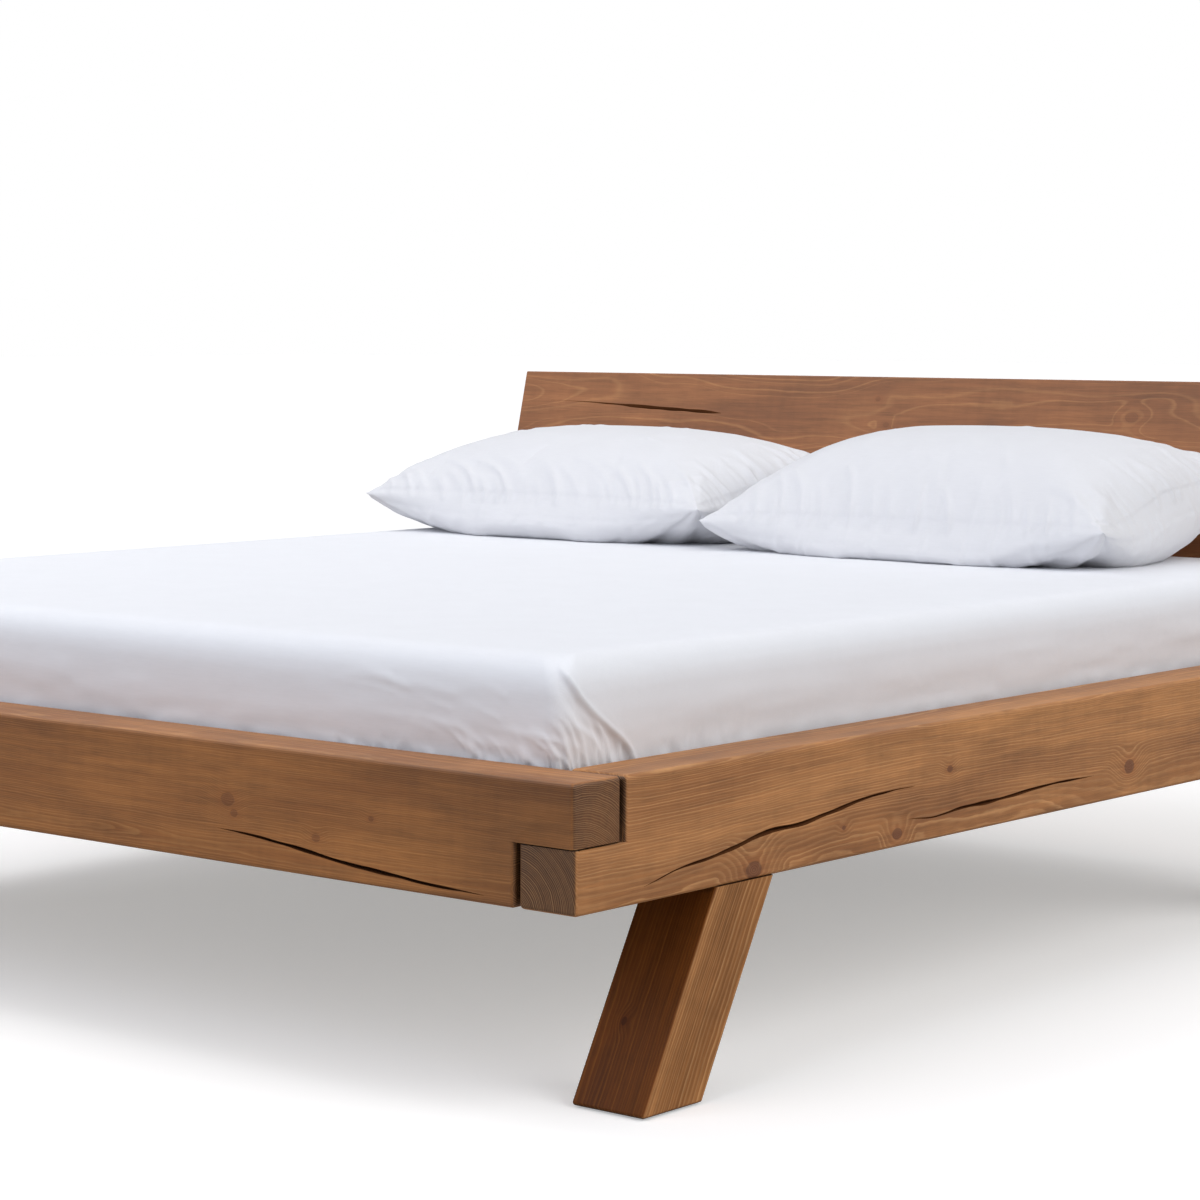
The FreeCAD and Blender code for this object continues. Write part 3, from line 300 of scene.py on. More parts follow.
def webbing(name):
    """Woven tape: herringbone ribs across its width."""
    s = Shader(name)
    along = s.dot(s.spot, (0, 2 * pi / 0.0022, 0))
    zig = s.math("PINGPONG", s.dot(s.spot, X), 0.004)
    ribs = s.math("SINE", s.plus(along, s.times(zig, 1400.0)))
    shade = s.mix(s.ramp(ribs, -1.0, 1.0), linear(196, 192, 182), linear(226, 222, 212))
    return s.finish(shade, 0.85, s.bump(ribs, 0.0003, 0.7))


def shaded_crack_inside(name):
    """The inside of a drying crack: wood browns darkened with painted shade, as deep in the crack."""
    s = Shader(name)
    grain = s.noise(s.scaled(s.spot, (60.0, 60.0, 700.0)), 1.0, 3.0)
    tint = s.mix(grain, linear(74, 42, 22), linear(104, 64, 36))
    return s.finish(tint, 0.95, s.bump(grain, 0.0004, 0.6), Specular_IOR_Level=0.05)


# Timber materials: the knots on the near faces sit where the photograph shows them

BEAM_TONES = ((138, 88, 47), (177, 121, 71), (223, 170, 114))
LEG_TONES = ((134, 87, 48), (180, 124, 75), (226, 174, 120))
BOARD_TONES = ((126, 79, 46), (154, 101, 63), (198, 144, 92))
PINE_TONES = ((206, 168, 118), (222, 188, 140), (240, 214, 172))
SLAT_TONES = ((212, 182, 138), (226, 200, 160), (240, 220, 186))


def end_beam_wood(name, outer_y, way, seed, knots):
    """Grain along X; way is 1 where the outer face looks to -Y. Each knot is (x, z, radius)."""
    return wood(
        name, X, Y, (outer_y + way * 0.012, 0.292), BEAM_TONES, 0.0026, 0.014,
        [(x, outer_y, z, radius) for x, z, radius in knots],
        # painted shade on the faces that look along the bed, deepening towards the beam's ends
        line_share=0.30, end_oil_and_shade=0.30, painted_shade_face=(Y, 0.74), painted_shade_ends=(0.62, 0.92, 0.74),
        knot_way=Y, knot_share=0.45, seed=seed,
    )


def side_beam_wood(name, way, seed, knots):
    """Grain along Y; way is the side of the bed. Each knot is (y, z, radius)."""
    return wood(
        name, Y, Z, (0.270, 0.905 * way), BEAM_TONES, 0.0026, 0.017,
        [(y, z, SIDE_X * way, radius) for y, z, radius in knots],
        # the ends are darkened past their oil with painted shade, for the end that lies in shade under the
        # lap
        line_share=0.36, end_oil_and_shade=0.19, seed=seed,
    )


def leg_wood(name, x_way, y_way):
    """Grain up the leaning leg; its rings' middle lies behind and inside it."""
    along = Vector((0, -y_way * sin(LEAN), cos(LEAN)))
    up = along.cross(X)
    middle = Vector((0.9425 * x_way, (FOOT_Y + 0.262) if y_way < 0 else (HEAD_Y - 0.262), 0.136))
    knots = []
    if name == "leg_foot_right":
        knot = Vector((0.925, -0.94, 0.105))
        knots = [(knot.dot(along), knot.dot(X), knot.dot(up), 0.0035)]
    pith = (0.845 * x_way, middle.dot(up) + 0.085)
    return wood(
        f"{name}_timber", along, X, pith, LEG_TONES, 0.0028, 0.006, knots, line_share=0.38,
        # painted shade on the faces that look along the bed, as if the beam above kept the light off them
        painted_shade_face=(up, 0.32), seed=3.1 * x_way + 1.7 * y_way, gloss=0.14,
    )


plain = {"line_share": 0.0, "end_oil_and_shade": 0.85}
board = {"line_share": 0.32, "line_from": 0.62, "knot_way": Y}
materials = {
    "foot_beam": end_beam_wood("foot_beam_timber", FOOT_Y, 1, 0.0, [
        (0.412, 0.355, 0.0075), (0.4232, 0.337, 0.004), (0.6685, 0.3547, 0.0035), (0.5721, 0.3206, 0.004),
        (-0.35, 0.372, 0.008), (-0.72, 0.34, 0.005),
    ]),
    "head_beam": end_beam_wood("head_beam_timber", HEAD_Y, -1, 7.3, [
        (0.3, 0.35, 0.007), (-0.52, 0.33, 0.0045), (0.78, 0.37, 0.004),
    ]),
    "side_beam_right": side_beam_wood("side_beam_right_timber", 1, 0.0, [
        (-0.774, 0.2816, 0.0105), (-0.4561, 0.2883, 0.0062), (-0.5787, 0.3114, 0.003),
        (-0.3299, 0.3626, 0.0042), (0.15, 0.315, 0.008), (0.66, 0.355, 0.0055),
    ]),
    "side_beam_left": side_beam_wood("side_beam_left_timber", -1, 11.9, [
        (-0.42, 0.36, 0.007), (0.31, 0.3, 0.009), (0.72, 0.39, 0.004),
    ]),
    "headboard_upper_plank": wood(
        "headboard_upper_timber", X, Y, (1.155, 0.775), BOARD_TONES, 0.0095, 0.085,
        [(-0.0988, 1.071, 0.8242, 0.004), (-0.0714, 1.0591, 0.7754, 0.004), (0.46, 1.07, 0.8, 0.007)],
        knot_share=0.35, seed=2.0, **board,
    ),
    "headboard_lower_plank": wood(
        "headboard_lower_timber", X, Y, (1.10, 0.56), BOARD_TONES, 0.0095, 0.085,
        [(-0.5, 1.02, 0.5, 0.008)], seed=5.4, **board,
    ),
    "centre_leg": wood("plain_pine_upright", Z, X, (0.06, 0.03), PINE_TONES, 0.0035, 0.01, **plain),
}
for side_name, x_way in (("left", -1), ("right", 1)):
    for end_name, y_way in (("foot", -1), ("head", 1)):
        name = f"leg_{end_name}_{side_name}"
        materials[name] = leg_wood(name, x_way, y_way)

SLOTS = {
    "plain_pine": wood("plain_pine_long", Y, Z, (0.26, 0.03), PINE_TONES, 0.0035, 0.02, **plain),
    "slat_wood": wood("slat_timber", X, Y, (0.2, 0.25), SLAT_TONES, 0.0026, 0.03, **plain),
    "dowel_wood": wood("dowel_timber", Z, X, (0.2, 0.2), SLAT_TONES, 0.0022, 0.01, **plain),
    "zinc_steel": metal("zinc_plated_steel", (196, 199, 203), 0.34, 1.0),
    "black_steel": metal("black_painted_steel", (34, 34, 35), 0.46, 0.0),
    "black_felt": felt("black_felt_pad"),
    "webbing": webbing("webbing_tape"),
}
slot_of = {entry["node"]: entry["material_slot"] for entry in frame["record"]["subparts"]}
for name, piece in nodes.items():
    finish = materials.get(name) or SLOTS.get(slot_of[name])
    if finish is not None:
        piece.data.materials.clear()
        piece.data.materials.append(finish)

# the cracks' insides carry painted shade
crack_inside_painted_shade = shaded_crack_inside("crack_inside_painted_shade")
sheet_cotton = fabric("sheet_cotton", (236, 237, 241), roughness=0.9)
pillow_cotton = fabric("pillow_cotton_cloth", (224, 224, 227))
mattress_knit = fabric("mattress_knit", (228, 227, 222), thread=0.0024, crumple=0.003, roughness=0.92)


# Mesh helpers


def new_piece(name, vertices, faces, material):
    mesh = bpy.data.meshes.new(name)
    mesh.from_pydata([tuple(vertex) for vertex in vertices], [], faces)
    mesh.materials.append(material)
    mesh.update()
    mesh.shade_smooth()
    piece = bpy.data.objects.new(name, mesh)
    scene.collection.objects.link(piece)
    return piece


def tube_faces(rings, around):
    """Quads between rings of vertices that follow each other."""
    faces = []
    for start in range(0, (rings - 1) * around, around):
        for b in range(around):
            ahead = (b + 1) % around
            faces.append((start + b, start + ahead, start + around + ahead, start + around + b))
    return faces


def cap(ring, around):
    return tuple(ring * around + b for b in range(around))


def faced_outwards(piece, weld=None):
    """Turns the faces outwards, after a weld of corners nearer to each other than that."""
    mesh = bmesh.new()
    mesh.from_mesh(piece.data)
    if weld is not None:
        bmesh.ops.remove_doubles(mesh, verts=mesh.verts, dist=weld)
    bmesh.ops.recalc_face_normals(mesh, faces=mesh.faces)
    mesh.to_mesh(piece.data)
    mesh.free()
    return piece


def applied(piece):
    """Turns the piece's modifiers into its mesh."""
    bpy.context.view_layer.update()
    result = bpy.data.meshes.new_from_object(piece.evaluated_get(bpy.context.evaluated_depsgraph_get()))
    piece.modifiers.clear()
    old = piece.data
    piece.data = result
    bpy.data.meshes.remove(old)


def standing(piece, node, body):
    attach(piece, body)
    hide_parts(node)


def coordinates(piece, key="co"):
    found = np.empty(len(piece.data.vertices) * 3)
    piece.data.vertices.foreach_get(key, found)
    return found.reshape(-1, 3)


def place_vertices(piece, places):
    piece.data.vertices.foreach_set("co", places.reshape(-1))
    piece.data.update()


def lengths(rows):
    return np.linalg.norm(rows, axis=1)


def bell(distance, width):
    return np.exp(-((distance / width) ** 2))


def smooth_line(points, step):
    """Points every step metres along a smooth curve through the given ones."""
    points = np.array(points, float)
    gaps = lengths(np.diff(points, axis=0))
    reach = np.concatenate([[0], np.cumsum(gaps)])
    slopes = np.gradient(points, reach, axis=0)
    places = np.linspace(0, reach[-1], max(3, int(reach[-1] / step) + 1))
    index = np.clip(np.searchsorted(reach, places, side="right") - 1, 0, len(points) - 2)
    length = reach[index + 1] - reach[index]
    t = ((places - reach[index]) / length)[:, None]
    length = length[:, None]
    start = (2 * t**3 - 3 * t**2 + 1) * points[index] + (t**3 - 2 * t**2 + t) * length * slopes[index]
    stop = (-2 * t**3 + 3 * t**2) * points[index + 1] + (t**3 - t**2) * length * slopes[index + 1]
    return start + stop


def wobble(count, size, seed, softness=9):
    """Smooth seeded noise along a line."""
    rng = np.random.default_rng(seed)
    values = rng.normal(0, 1, count + 2 * softness)
    kernel = np.hanning(2 * softness + 1)
    return size * np.convolve(values, kernel / kernel.sum(), "same")[softness:softness + count]


# Drying cracks, cut into copies of the beams and of the headboard's upper plank


def crack_cutter(name, line, outward, width, depth, seed, peak=1.0):
    """A long wedge along the line on a face, closing at both ends; a peak over 1 is widest near its end."""
    path = smooth_line(line, 0.004)
    count = len(path)
    outward = np.array(outward, float)
    along = np.gradient(path, axis=0)
    along /= lengths(along)[:, None]
    side = np.cross(along, outward)
    swell = np.maximum(np.sin(pi * np.linspace(0, 1, count) ** peak), 0) ** 0.7
    half = np.maximum(0.5 * width * swell * (1 + wobble(count, 0.5, seed)), 0.00012)[:, None]
    path = path + side * wobble(count, 0.0009, seed + 1)[:, None]
    deep = depth * np.maximum(swell, 0.12)[:, None]
    # the wedge starts in front of the face, and its bottom lies to one side
    lift, shift = 0.003, 0.0035
    spread = 1 + 0.25 * lift / depth
    rows = [
        path + outward * lift + side * half * spread,
        path + side * half * 0.96,
        path - outward * deep + side * shift,
        path - side * half * 0.96,
        path + outward * lift - side * half * spread,
    ]
    sides = len(rows)
    faces = tube_faces(count, sides) + [cap(0, sides)[::-1], cap(count - 1, sides)]
    vertices = np.stack(rows, axis=1).reshape(-1, 3)
    return faced_outwards(new_piece(name, vertices, faces, crack_inside_painted_shade))


def cracked(name, node, outward, on_face, cracks):
    """The node's own shape with drying cracks cut into it.

    Each crack is its line's (along, up) pairs on the face, its width, depth and seed, and perhaps its peak.
    """
    piece = bpy.data.objects.new(name, nodes[node].data.copy())
    scene.collection.objects.link(piece)
    faced_outwards(piece, weld=1e-6)
    cutters = []
    for index, (pairs, *form) in enumerate(cracks):
        line = [on_face(along, up) for along, up in pairs]
        cutters.append(crack_cutter(f"{name}_cutter_{index}", line, outward, *form))
        boolean = piece.modifiers.new(f"crack_{index}", "BOOLEAN")
        boolean.object = cutters[-1]
        boolean.operation = "DIFFERENCE"
        boolean.solver = "EXACT"
        boolean.material_mode = "TRANSFER"
    applied(piece)
    for cutter in cutters:
        bpy.data.objects.remove(cutter)
    piece.data.shade_smooth()
    piece.data.set_sharp_from_angle(angle=radians(32))
    piece.modifiers.new("normals", "WEIGHTED_NORMAL").keep_sharp = True
    standing(piece, node, "frame")


def on_board(x, up):
    """A point on the headboard's front face, that far up it from the head beam's top."""
    return (x, BOARD_FACE_Y + up * sin(BOARD_LEAN), TOP_Z + up * cos(BOARD_LEAN))


cracked("foot_beam_cracked", "foot_beam", -Y, lambda x, z: (x, FOOT_Y, z), [
    ([
        (0.392, 0.3150), (0.42, 0.3140), (0.5201, 0.3060), (0.6352, 0.2932), (0.7092, 0.2877),
        (0.7648, 0.2842), (0.8569, 0.2814),
    ], 0.0058, 0.016, 3),
    ([(-0.86, 0.352), (-0.7, 0.349), (-0.52, 0.358), (-0.33, 0.353)], 0.0036, 0.012, 5),
])
cracked("side_beam_right_cracked", "side_beam_right", X, lambda y, z: (SIDE_X, y, z), [
    ([
        (-0.9948, 0.2901), (-0.9405, 0.3012), (-0.8506, 0.3107), (-0.7702, 0.3233), (-0.7343, 0.3278),
        (-0.6741, 0.3282), (-0.6126, 0.3353), (-0.5361, 0.3448), (-0.4713, 0.3482), (-0.4145, 0.3486),
    ], 0.0060, 0.018, 11),
    ([
        (-0.4304, 0.3055), (-0.3629, 0.3016), (-0.2939, 0.3059), (-0.2026, 0.3065), (-0.08, 0.3125),
        (0.05, 0.3120),
    ], 0.0050, 0.016, 12),
    ([(0.42, 0.352), (0.6, 0.349), (0.83, 0.357)], 0.0026, 0.018, 13),
])
cracked("side_beam_left_cracked", "side_beam_left", -X, lambda y, z: (-SIDE_X, y, z), [
    ([(-0.72, 0.33), (-0.5, 0.337), (-0.2, 0.331), (0.02, 0.34)], 0.004, 0.022, 21),
    ([(0.4, 0.31), (0.62, 0.306), (0.84, 0.314)], 0.003, 0.018, 22),
])
cracked("head_beam_cracked", "head_beam", Y, lambda x, z: (x, HEAD_Y, z), [
    ([(-0.6, 0.33), (-0.35, 0.324), (-0.05, 0.332)], 0.0034, 0.02, 31),
    ([(0.25, 0.365), (0.5, 0.361), (0.74, 0.368)], 0.003, 0.018, 32),
])
board_out = Vector((0, -cos(BOARD_LEAN), sin(BOARD_LEAN)))
cracked("headboard_upper_cracked", "headboard_upper_plank", board_out, on_board, [
    ([(-0.92, 0.389), (-0.85, 0.388), (-0.63, 0.3775), (-0.47, 0.3705)], 0.0088, 0.0065, 41, 2.4),
    ([(0.2, 0.32), (0.42, 0.327), (0.6, 0.322)], 0.0022, 0.010, 42),
])


# The fitted sheet and the mattress inside it


def graded(length, fine, reach, coarse):
    """Shares of a side's length: fine steps near both ends, coarse ones between."""
    ends = np.arange(fine, reach, fine)
    count = max(2, int((length - 2 * reach) / coarse))
    middle = np.linspace(reach, length - reach, count)
    return np.concatenate([ends, middle, length - ends[::-1]]) / length


class Outline:
    """Points round the sheet's outline, the same number whatever its inset and corner radius."""

    def __init__(self, fine, reach, coarse, arc_steps, radius=0.045):
        low, high = (np.array(corner)[:2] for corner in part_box("fitted_sheet"))
        self.middle, self.half = (low + high) / 2, (high - low) / 2
        arc = pi * radius / 4
        # kind 0 to 3 is an arc and 4 to 7 the side after it; away is the distance from the nearest corner
        points = []
        for index in range(4):
            for share in np.linspace(0, 1, arc_steps):
                points.append((index, share, index, (2 * share - 1) * arc))
            length = 2 * (self.half[1 if index % 2 == 0 else 0] - radius)
            for share in graded(length, fine, reach, coarse):
                if share < 0.5:
                    points.append((index + 4, share, index, arc + share * length))
                else:
                    points.append((index + 4, share, (index + 1) % 4, -arc - (1 - share) * length))
        kinds, shares, corner, away = zip(*points)
        self.kinds, self.shares = np.array(kinds), np.array(shares)
        self.corner, self.away = np.array(corner), np.array(away)

    def ring(self, inset, radius):
        """Points and outward directions of the outline drawn in by inset."""
        ways = np.array([(1, -1), (1, 1), (-1, 1), (-1, -1)])
        centres = self.middle + ways * (self.half - inset - radius)
        starts = np.radians([-90, 0, 90, 180])
        index = self.kinds % 4
        angle = starts[index] + np.where(self.kinds < 4, self.shares, 1.0) * (pi / 2)
        out = np.stack([np.cos(angle), np.sin(angle)], axis=1)
        points = centres[index] + radius * out
        ahead = (index + 1) % 4
        turn = starts[ahead]
        next_start = centres[ahead] + radius * np.stack([np.cos(turn), np.sin(turn)], axis=1)
        straight = self.kinds >= 4
        share = self.shares[:, None]
        points[straight] = (points * (1 - share) + next_start * share)[straight]
        return points, out


def wrapped(outline, profile, radii, push):
    """A skin over the outline: one ring for each profile point (inset, level), moved outwards by push."""
    slope = np.gradient(profile, axis=0)
    slope /= lengths(slope)[:, None]
    places, normals = [], []
    for (inset, level), (upward, outward), radius in zip(profile, slope, radii):
        # the profile runs up the side, so outwards is its right-hand side
        points, out = outline.ring(inset, radius)
        normals.append(np.column_stack([out * outward, np.full(len(out), upward)]))
        places.append(np.column_stack([points, np.full(len(points), level)]))
    places, normals = np.array(places), np.array(normals)
    moved = places + normals * push(profile[:, 0], profile[:, 1], places)[:, :, None]
    rings, around = moved.shape[:2]
    faces = tube_faces(rings, around) + [cap(rings - 1, around)]
    return moved.reshape(-1, 3), faces, around


SHEET_TOP = 0.5663
SHEET_PROFILE = [
    (0.110, 0.3643), (0.096, 0.3643), (0.082, 0.3643), (0.068, 0.3643), (0.054, 0.3644), (0.042, 0.3660),
    (0.032, 0.3705), (0.0245, 0.3785), (0.0190, 0.392), (0.0160, 0.408), (0.0125, 0.430), (0.0075, 0.455),
    (0.0034, 0.480), (0.0009, 0.505), (0.0, 0.522), (0.0016, 0.5355), (0.0068, 0.5478), (0.0165, 0.5575),
    (0.031, 0.5635), (0.052, 0.5658), (0.075, SHEET_TOP),
]
inner = np.concatenate([np.arange(0.085, 0.14, 0.008), np.arange(0.15, 0.885, 0.022)])
top_profile = np.column_stack([inner, np.full(len(inner), SHEET_TOP)])
profile = np.concatenate([smooth_line(SHEET_PROFILE, 0.0032), top_profile])
sheet_outline = Outline(0.0028, 0.36, 0.014, 26)


def corner_radius(inset, level):
    if level > 0.566:
        return max(0.004, 0.030 * (1 - max(0.0, inset - 0.05) / 0.84))
    return float(np.interp(level, [0.364, 0.38, 0.43, 0.54], [0.045, 0.030, 0.020, 0.030]))


def along_polyline(points, spots):
    """Distance of each spot from the polyline, its share of the way along it, and the side it lies on."""
    points = np.array(points, float)
    steps = lengths(np.diff(points, axis=0))
    total = steps.sum()
    best = np.full(len(spots), 1e9)
    share = np.zeros(len(spots))
    side = np.zeros(len(spots))
    before = 0.0
    for start, end, length in zip(points[:-1], points[1:], steps):
        way = (end - start) / length
        away = spots - start
        t = np.clip(away @ way, 0, length)
        gap = lengths(away - t[:, None] * way)
        closer = gap < best
        best = np.where(closer, gap, best)
        share = np.where(closer, (before + t) / total, share)
        side = np.where(closer, np.sign(way[0] * away[:, 1] - way[1] * away[:, 0]), side)
        before += length
    return best, share, side


def fold(total, points, spots, height, width, widen=2.0, fade=1.0):
    """Adds a fold along the line: full height at its start, wider and gone at its end."""
    line = smooth_line(points, 0.012)
    reach = 2.6 * width * widen
    low, high = line.min(axis=0) - reach, line.max(axis=0) + reach
    near = np.flatnonzero(((spots > low) & (spots < high)).all(axis=1))
    if len(near) == 0:
        return
    gap, share, _ = along_polyline(line, spots[near])
    wide = width * (1 + (widen - 1) * share)
    tall = height * np.clip(1 - share, 0, 1) ** fade * np.minimum(1, share * 12 + 0.25)
    total[near] += tall * bell(gap, wide)


# The seam's ridge at a corner, and the groups of gathers beside it: their starts along the hem, and the
# ranges of their rise, sweep, height and width
RIDGE = [
    (-0.006, 0.5525), (0.012, 0.537), (0.0633, 0.4945), (0.098, 0.4715), (0.130, 0.4500), (0.1450, 0.4345),
    (0.1490, 0.422), (0.1500, 0.400),
]
GATHERS = (
    (np.linspace(0.142, 0.0, 20), (0.045, 0.095), (0.045, 0.085), (0.0016, 0.0036), (0.0020, 0.0034)),
    (np.linspace(-0.005, -0.16, 18), (0.022, 0.060), (0.030, 0.070), (0.0014, 0.0036), (0.0022, 0.0040)),
    (np.linspace(-0.17, -0.78, 34), (0.008, 0.026), (0.015, 0.050), (0.0006, 0.0022), (0.0024, 0.0050)),
)


def corner_folds(spots, seed, strength):
    """How far the sheet stands out near a corner: the diagonal ridge of its seam, and gathers under it."""
    rng = np.random.default_rng(seed)
    ridge = smooth_line(RIDGE, 0.006)
    gap, share, side = along_polyline(ridge, spots)
    start = np.clip(share * 10, 0, 1)
    # side > 0 is above and behind the ridge, side <= 0 is towards the corner
    crest = 0.0022 * bell(gap, 0.0030) * start
    above = 0.0042 * np.exp(-gap / 0.050) * (side > 0) * start
    below = 0.0042 * np.exp(-gap / 0.0030) * (side <= 0) * start
    dip = -0.0022 * bell(gap - 0.013, 0.012) * (side <= 0) * start
    gathers = np.zeros(len(spots))
    for starts, rises, sweeps, heights, widths in GATHERS:
        for base in starts:
            base += rng.normal(0, 0.0035)
            rise, sweep = rng.uniform(*rises), rng.uniform(*sweeps)
            low = 0.414 + rng.uniform(-0.004, 0.010)
            steps = ((0, 0), (0.10, 0.42), (0.45, 0.78), (1, 1))
            line = [(base - back * sweep, low + up * rise) for back, up in steps]
            height, width, widen = rng.uniform(*heights), rng.uniform(*widths), rng.uniform(1.6, 2.8)
            fold(gathers, line, spots, height, width, widen)
    for _ in range(14):
        base, low, reach = rng.uniform(-0.30, 0.03), rng.uniform(0.440, 0.530), rng.uniform(0.06, 0.20)
        line = [
            (base, low), (base - 0.4 * reach, low + rng.uniform(0.004, 0.014)),
            (base - reach, low + rng.uniform(0.006, 0.022)),
        ]
        fold(gathers, line, spots, rng.uniform(0.0005, 0.0013), rng.uniform(0.003, 0.007), 2.0, 0.8)
    edge = np.interp(-spots[:, 1], -ridge[:, 1], ridge[:, 0])
    beside = np.clip((edge - spots[:, 0]) / 0.006, 0.12, 1)
    return strength * (crest + above + below + dip + gathers * beside)


def smooth_noise(spots, scale, seed):
    """Seeded value noise on a plane, between -1 and 1."""
    size = 64
    table = np.random.default_rng(seed).uniform(-1, 1, (size, size))
    place = spots / np.array(scale)
    cell = np.floor(place).astype(int)
    share = place - cell
    share = share * share * (3 - 2 * share)
    a, b = cell[..., 0] % size, cell[..., 1] % size
    c, d = (a + 1) % size, (b + 1) % size
    s, t = share[..., 0], share[..., 1]
    low, high = (table[a, row] * (1 - s) + table[c, row] * s for row in (b, d))
    return low * (1 - t) + high * t


def sheet_push(insets, levels, places):
    """How far the sheet stands off the plain wrapped block."""
    away, corner = sheet_outline.away, sheet_outline.corner
    close = 0.0003
    total = np.zeros(places.shape[:2])
    top = levels > 0.5655
    calm = np.clip((insets[top] - 0.04) / 0.05, 0, 1)[:, None]
    flat = places[top][:, :, :2]
    broad = smooth_noise(flat, (0.23, 0.31), 5) * 0.5 + 0.5
    total[top] = close + calm * (0.0009 * broad + 0.0005 * smooth_noise(flat, (0.07, 0.10), 6))
    side = (levels > 0.3655) & ~top
    level = levels[side][:, None] + 0 * away
    along = np.array([0.0, 2.2, 4.4, 6.6])[corner] + away
    spots = np.stack([along + 0 * level, level], axis=-1)
    hem = bell(level - 0.424, 0.017)
    pucker = hem * 0.0019 * (smooth_noise(spots, (0.019, 0.03), 8) + 0.6)
    pucker += hem * 0.0008 * smooth_noise(spots, (0.008, 0.02), 9)
    slack = 0.0014 * smooth_noise(spots, (0.16, 0.035), 10)
    slack += 0.0006 * smooth_noise(spots, (0.07, 0.016), 11)
    stand = 0.0014 + pucker + slack * bell(level - 0.46, 0.045)
    for number, strength in enumerate((1.0, 0.9, 0.85, 0.95)):
        mirror, seed = (1, -1)[number % 2], 71 + number
        near = np.flatnonzero((corner == number) & (np.abs(away) < 0.85))
        block = np.stack([mirror * away[near] + 0 * level[:, :1], level[:, near]], axis=-1)
        stand[:, near] += corner_folds(block.reshape(-1, 2), seed, strength).reshape(block.shape[:2])
    blend = np.clip((level - 0.3655) / 0.012, 0, 1) * np.clip((0.5660 - level) / 0.004, 0, 1)
    total[side] = np.maximum(stand, 0.0) * blend + close * (1 - blend)
    return total


radii = [corner_radius(inset, level) for inset, level in profile]
vertices, faces, _ = wrapped(sheet_outline, profile, radii, sheet_push)
sheet = new_piece("sheet_cloth", vertices, faces, sheet_cotton)

# the mattress follows the sheet's inside, and goes on under it
low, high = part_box("mattress")
low_level, high_level = low[2] + 0.0002, high[2] - 0.0008
mattress_profile = [(inset, low_level) for inset in (0.88, 0.7, 0.5, 0.35, 0.24, 0.16)] + [
    (inset + 0.0022, min(max(level, low_level), high_level))
    for inset, level in np.concatenate([smooth_line(SHEET_PROFILE, 0.009), profile[profile[:, 0] > 0.09]])
    if inset < 0.9 and not (level < 0.4 and inset > 0.11)
]


def mattress_push(insets, levels, places):
    """Quilting on the top: grooves along two diagonals."""
    a = np.abs(np.sin((places[:, :, 0] + places[:, :, 1]) * pi / 0.24))
    b = np.abs(np.sin((places[:, :, 0] - places[:, :, 1]) * pi / 0.24))
    groove = -0.003 * bell(np.minimum(a, b), 0.12)
    return np.where(levels[:, None] > 0.5635, groove, 0.0)


mattress_outline = Outline(0.012, 0.36, 0.024, 12)
radii = [
    corner_radius(inset, level) if level > 0.37 or inset < 0.1 else 0.02
    for inset, level in mattress_profile
]
vertices, faces, around = wrapped(mattress_outline, np.array(mattress_profile), radii, mattress_push)
mattress = new_piece("mattress_cover", vertices, faces + [cap(0, around)[::-1]], mattress_knit)
standing(mattress, "mattress", "bed_mattress")
standing(sheet, "fitted_sheet", "bed_mattress")


# Pillows: two flat panels sewn round their edge, drawn onto the solid's form, then filled


def fill_case(piece, grid_u, grid_v, index, rim):
    """Cloth simulation: the seam is held, and the spare cloth beside it creases under a light filling."""
    start = coordinates(piece)
    from_edge = np.minimum((1 - np.abs(grid_u)) * 0.41, (1 - np.abs(grid_v)) * 0.25).reshape(-1)
    weight = np.clip(1 - from_edge / 0.13, 0, 1)
    near = piece.vertex_groups.new(name="beside_seam")
    for number, share in zip(index.reshape(-1), weight):
        near.add([int(number)], float(share), "REPLACE")
    for number, share in enumerate(weight[~rim.reshape(-1)]):
        near.add([int(index.size + number)], float(share * 0.8), "REPLACE")
    cloth = piece.modifiers.new("fill", "CLOTH")
    settings = cloth.settings
    settings.quality = 5
    settings.mass = 0.15
    settings.tension_stiffness = settings.compression_stiffness = 12
    settings.shear_stiffness = 4
    settings.bending_stiffness = 0.04
    settings.use_pressure = True
    settings.uniform_pressure_force = 4
    settings.vertex_group_mass = "seam"
    settings.vertex_group_shrink = "beside_seam"
    settings.shrink_min = -0.005
    settings.shrink_max = -0.075
    settings.effector_weights.gravity = 0
    cloth.collision_settings.use_collision = False
    last_frame = 18
    cloth.point_cache.frame_end = last_frame
    for step in range(1, last_frame + 1):
        scene.frame_set(step)
    applied(piece)
    scene.frame_set(1)
    moved = coordinates(piece) - start
    length = lengths(moved)
    most = 0.010
    moved *= (most * np.tanh(length / most) / np.maximum(length, 1e-9))[:, None]
    place_vertices(piece, start + moved)


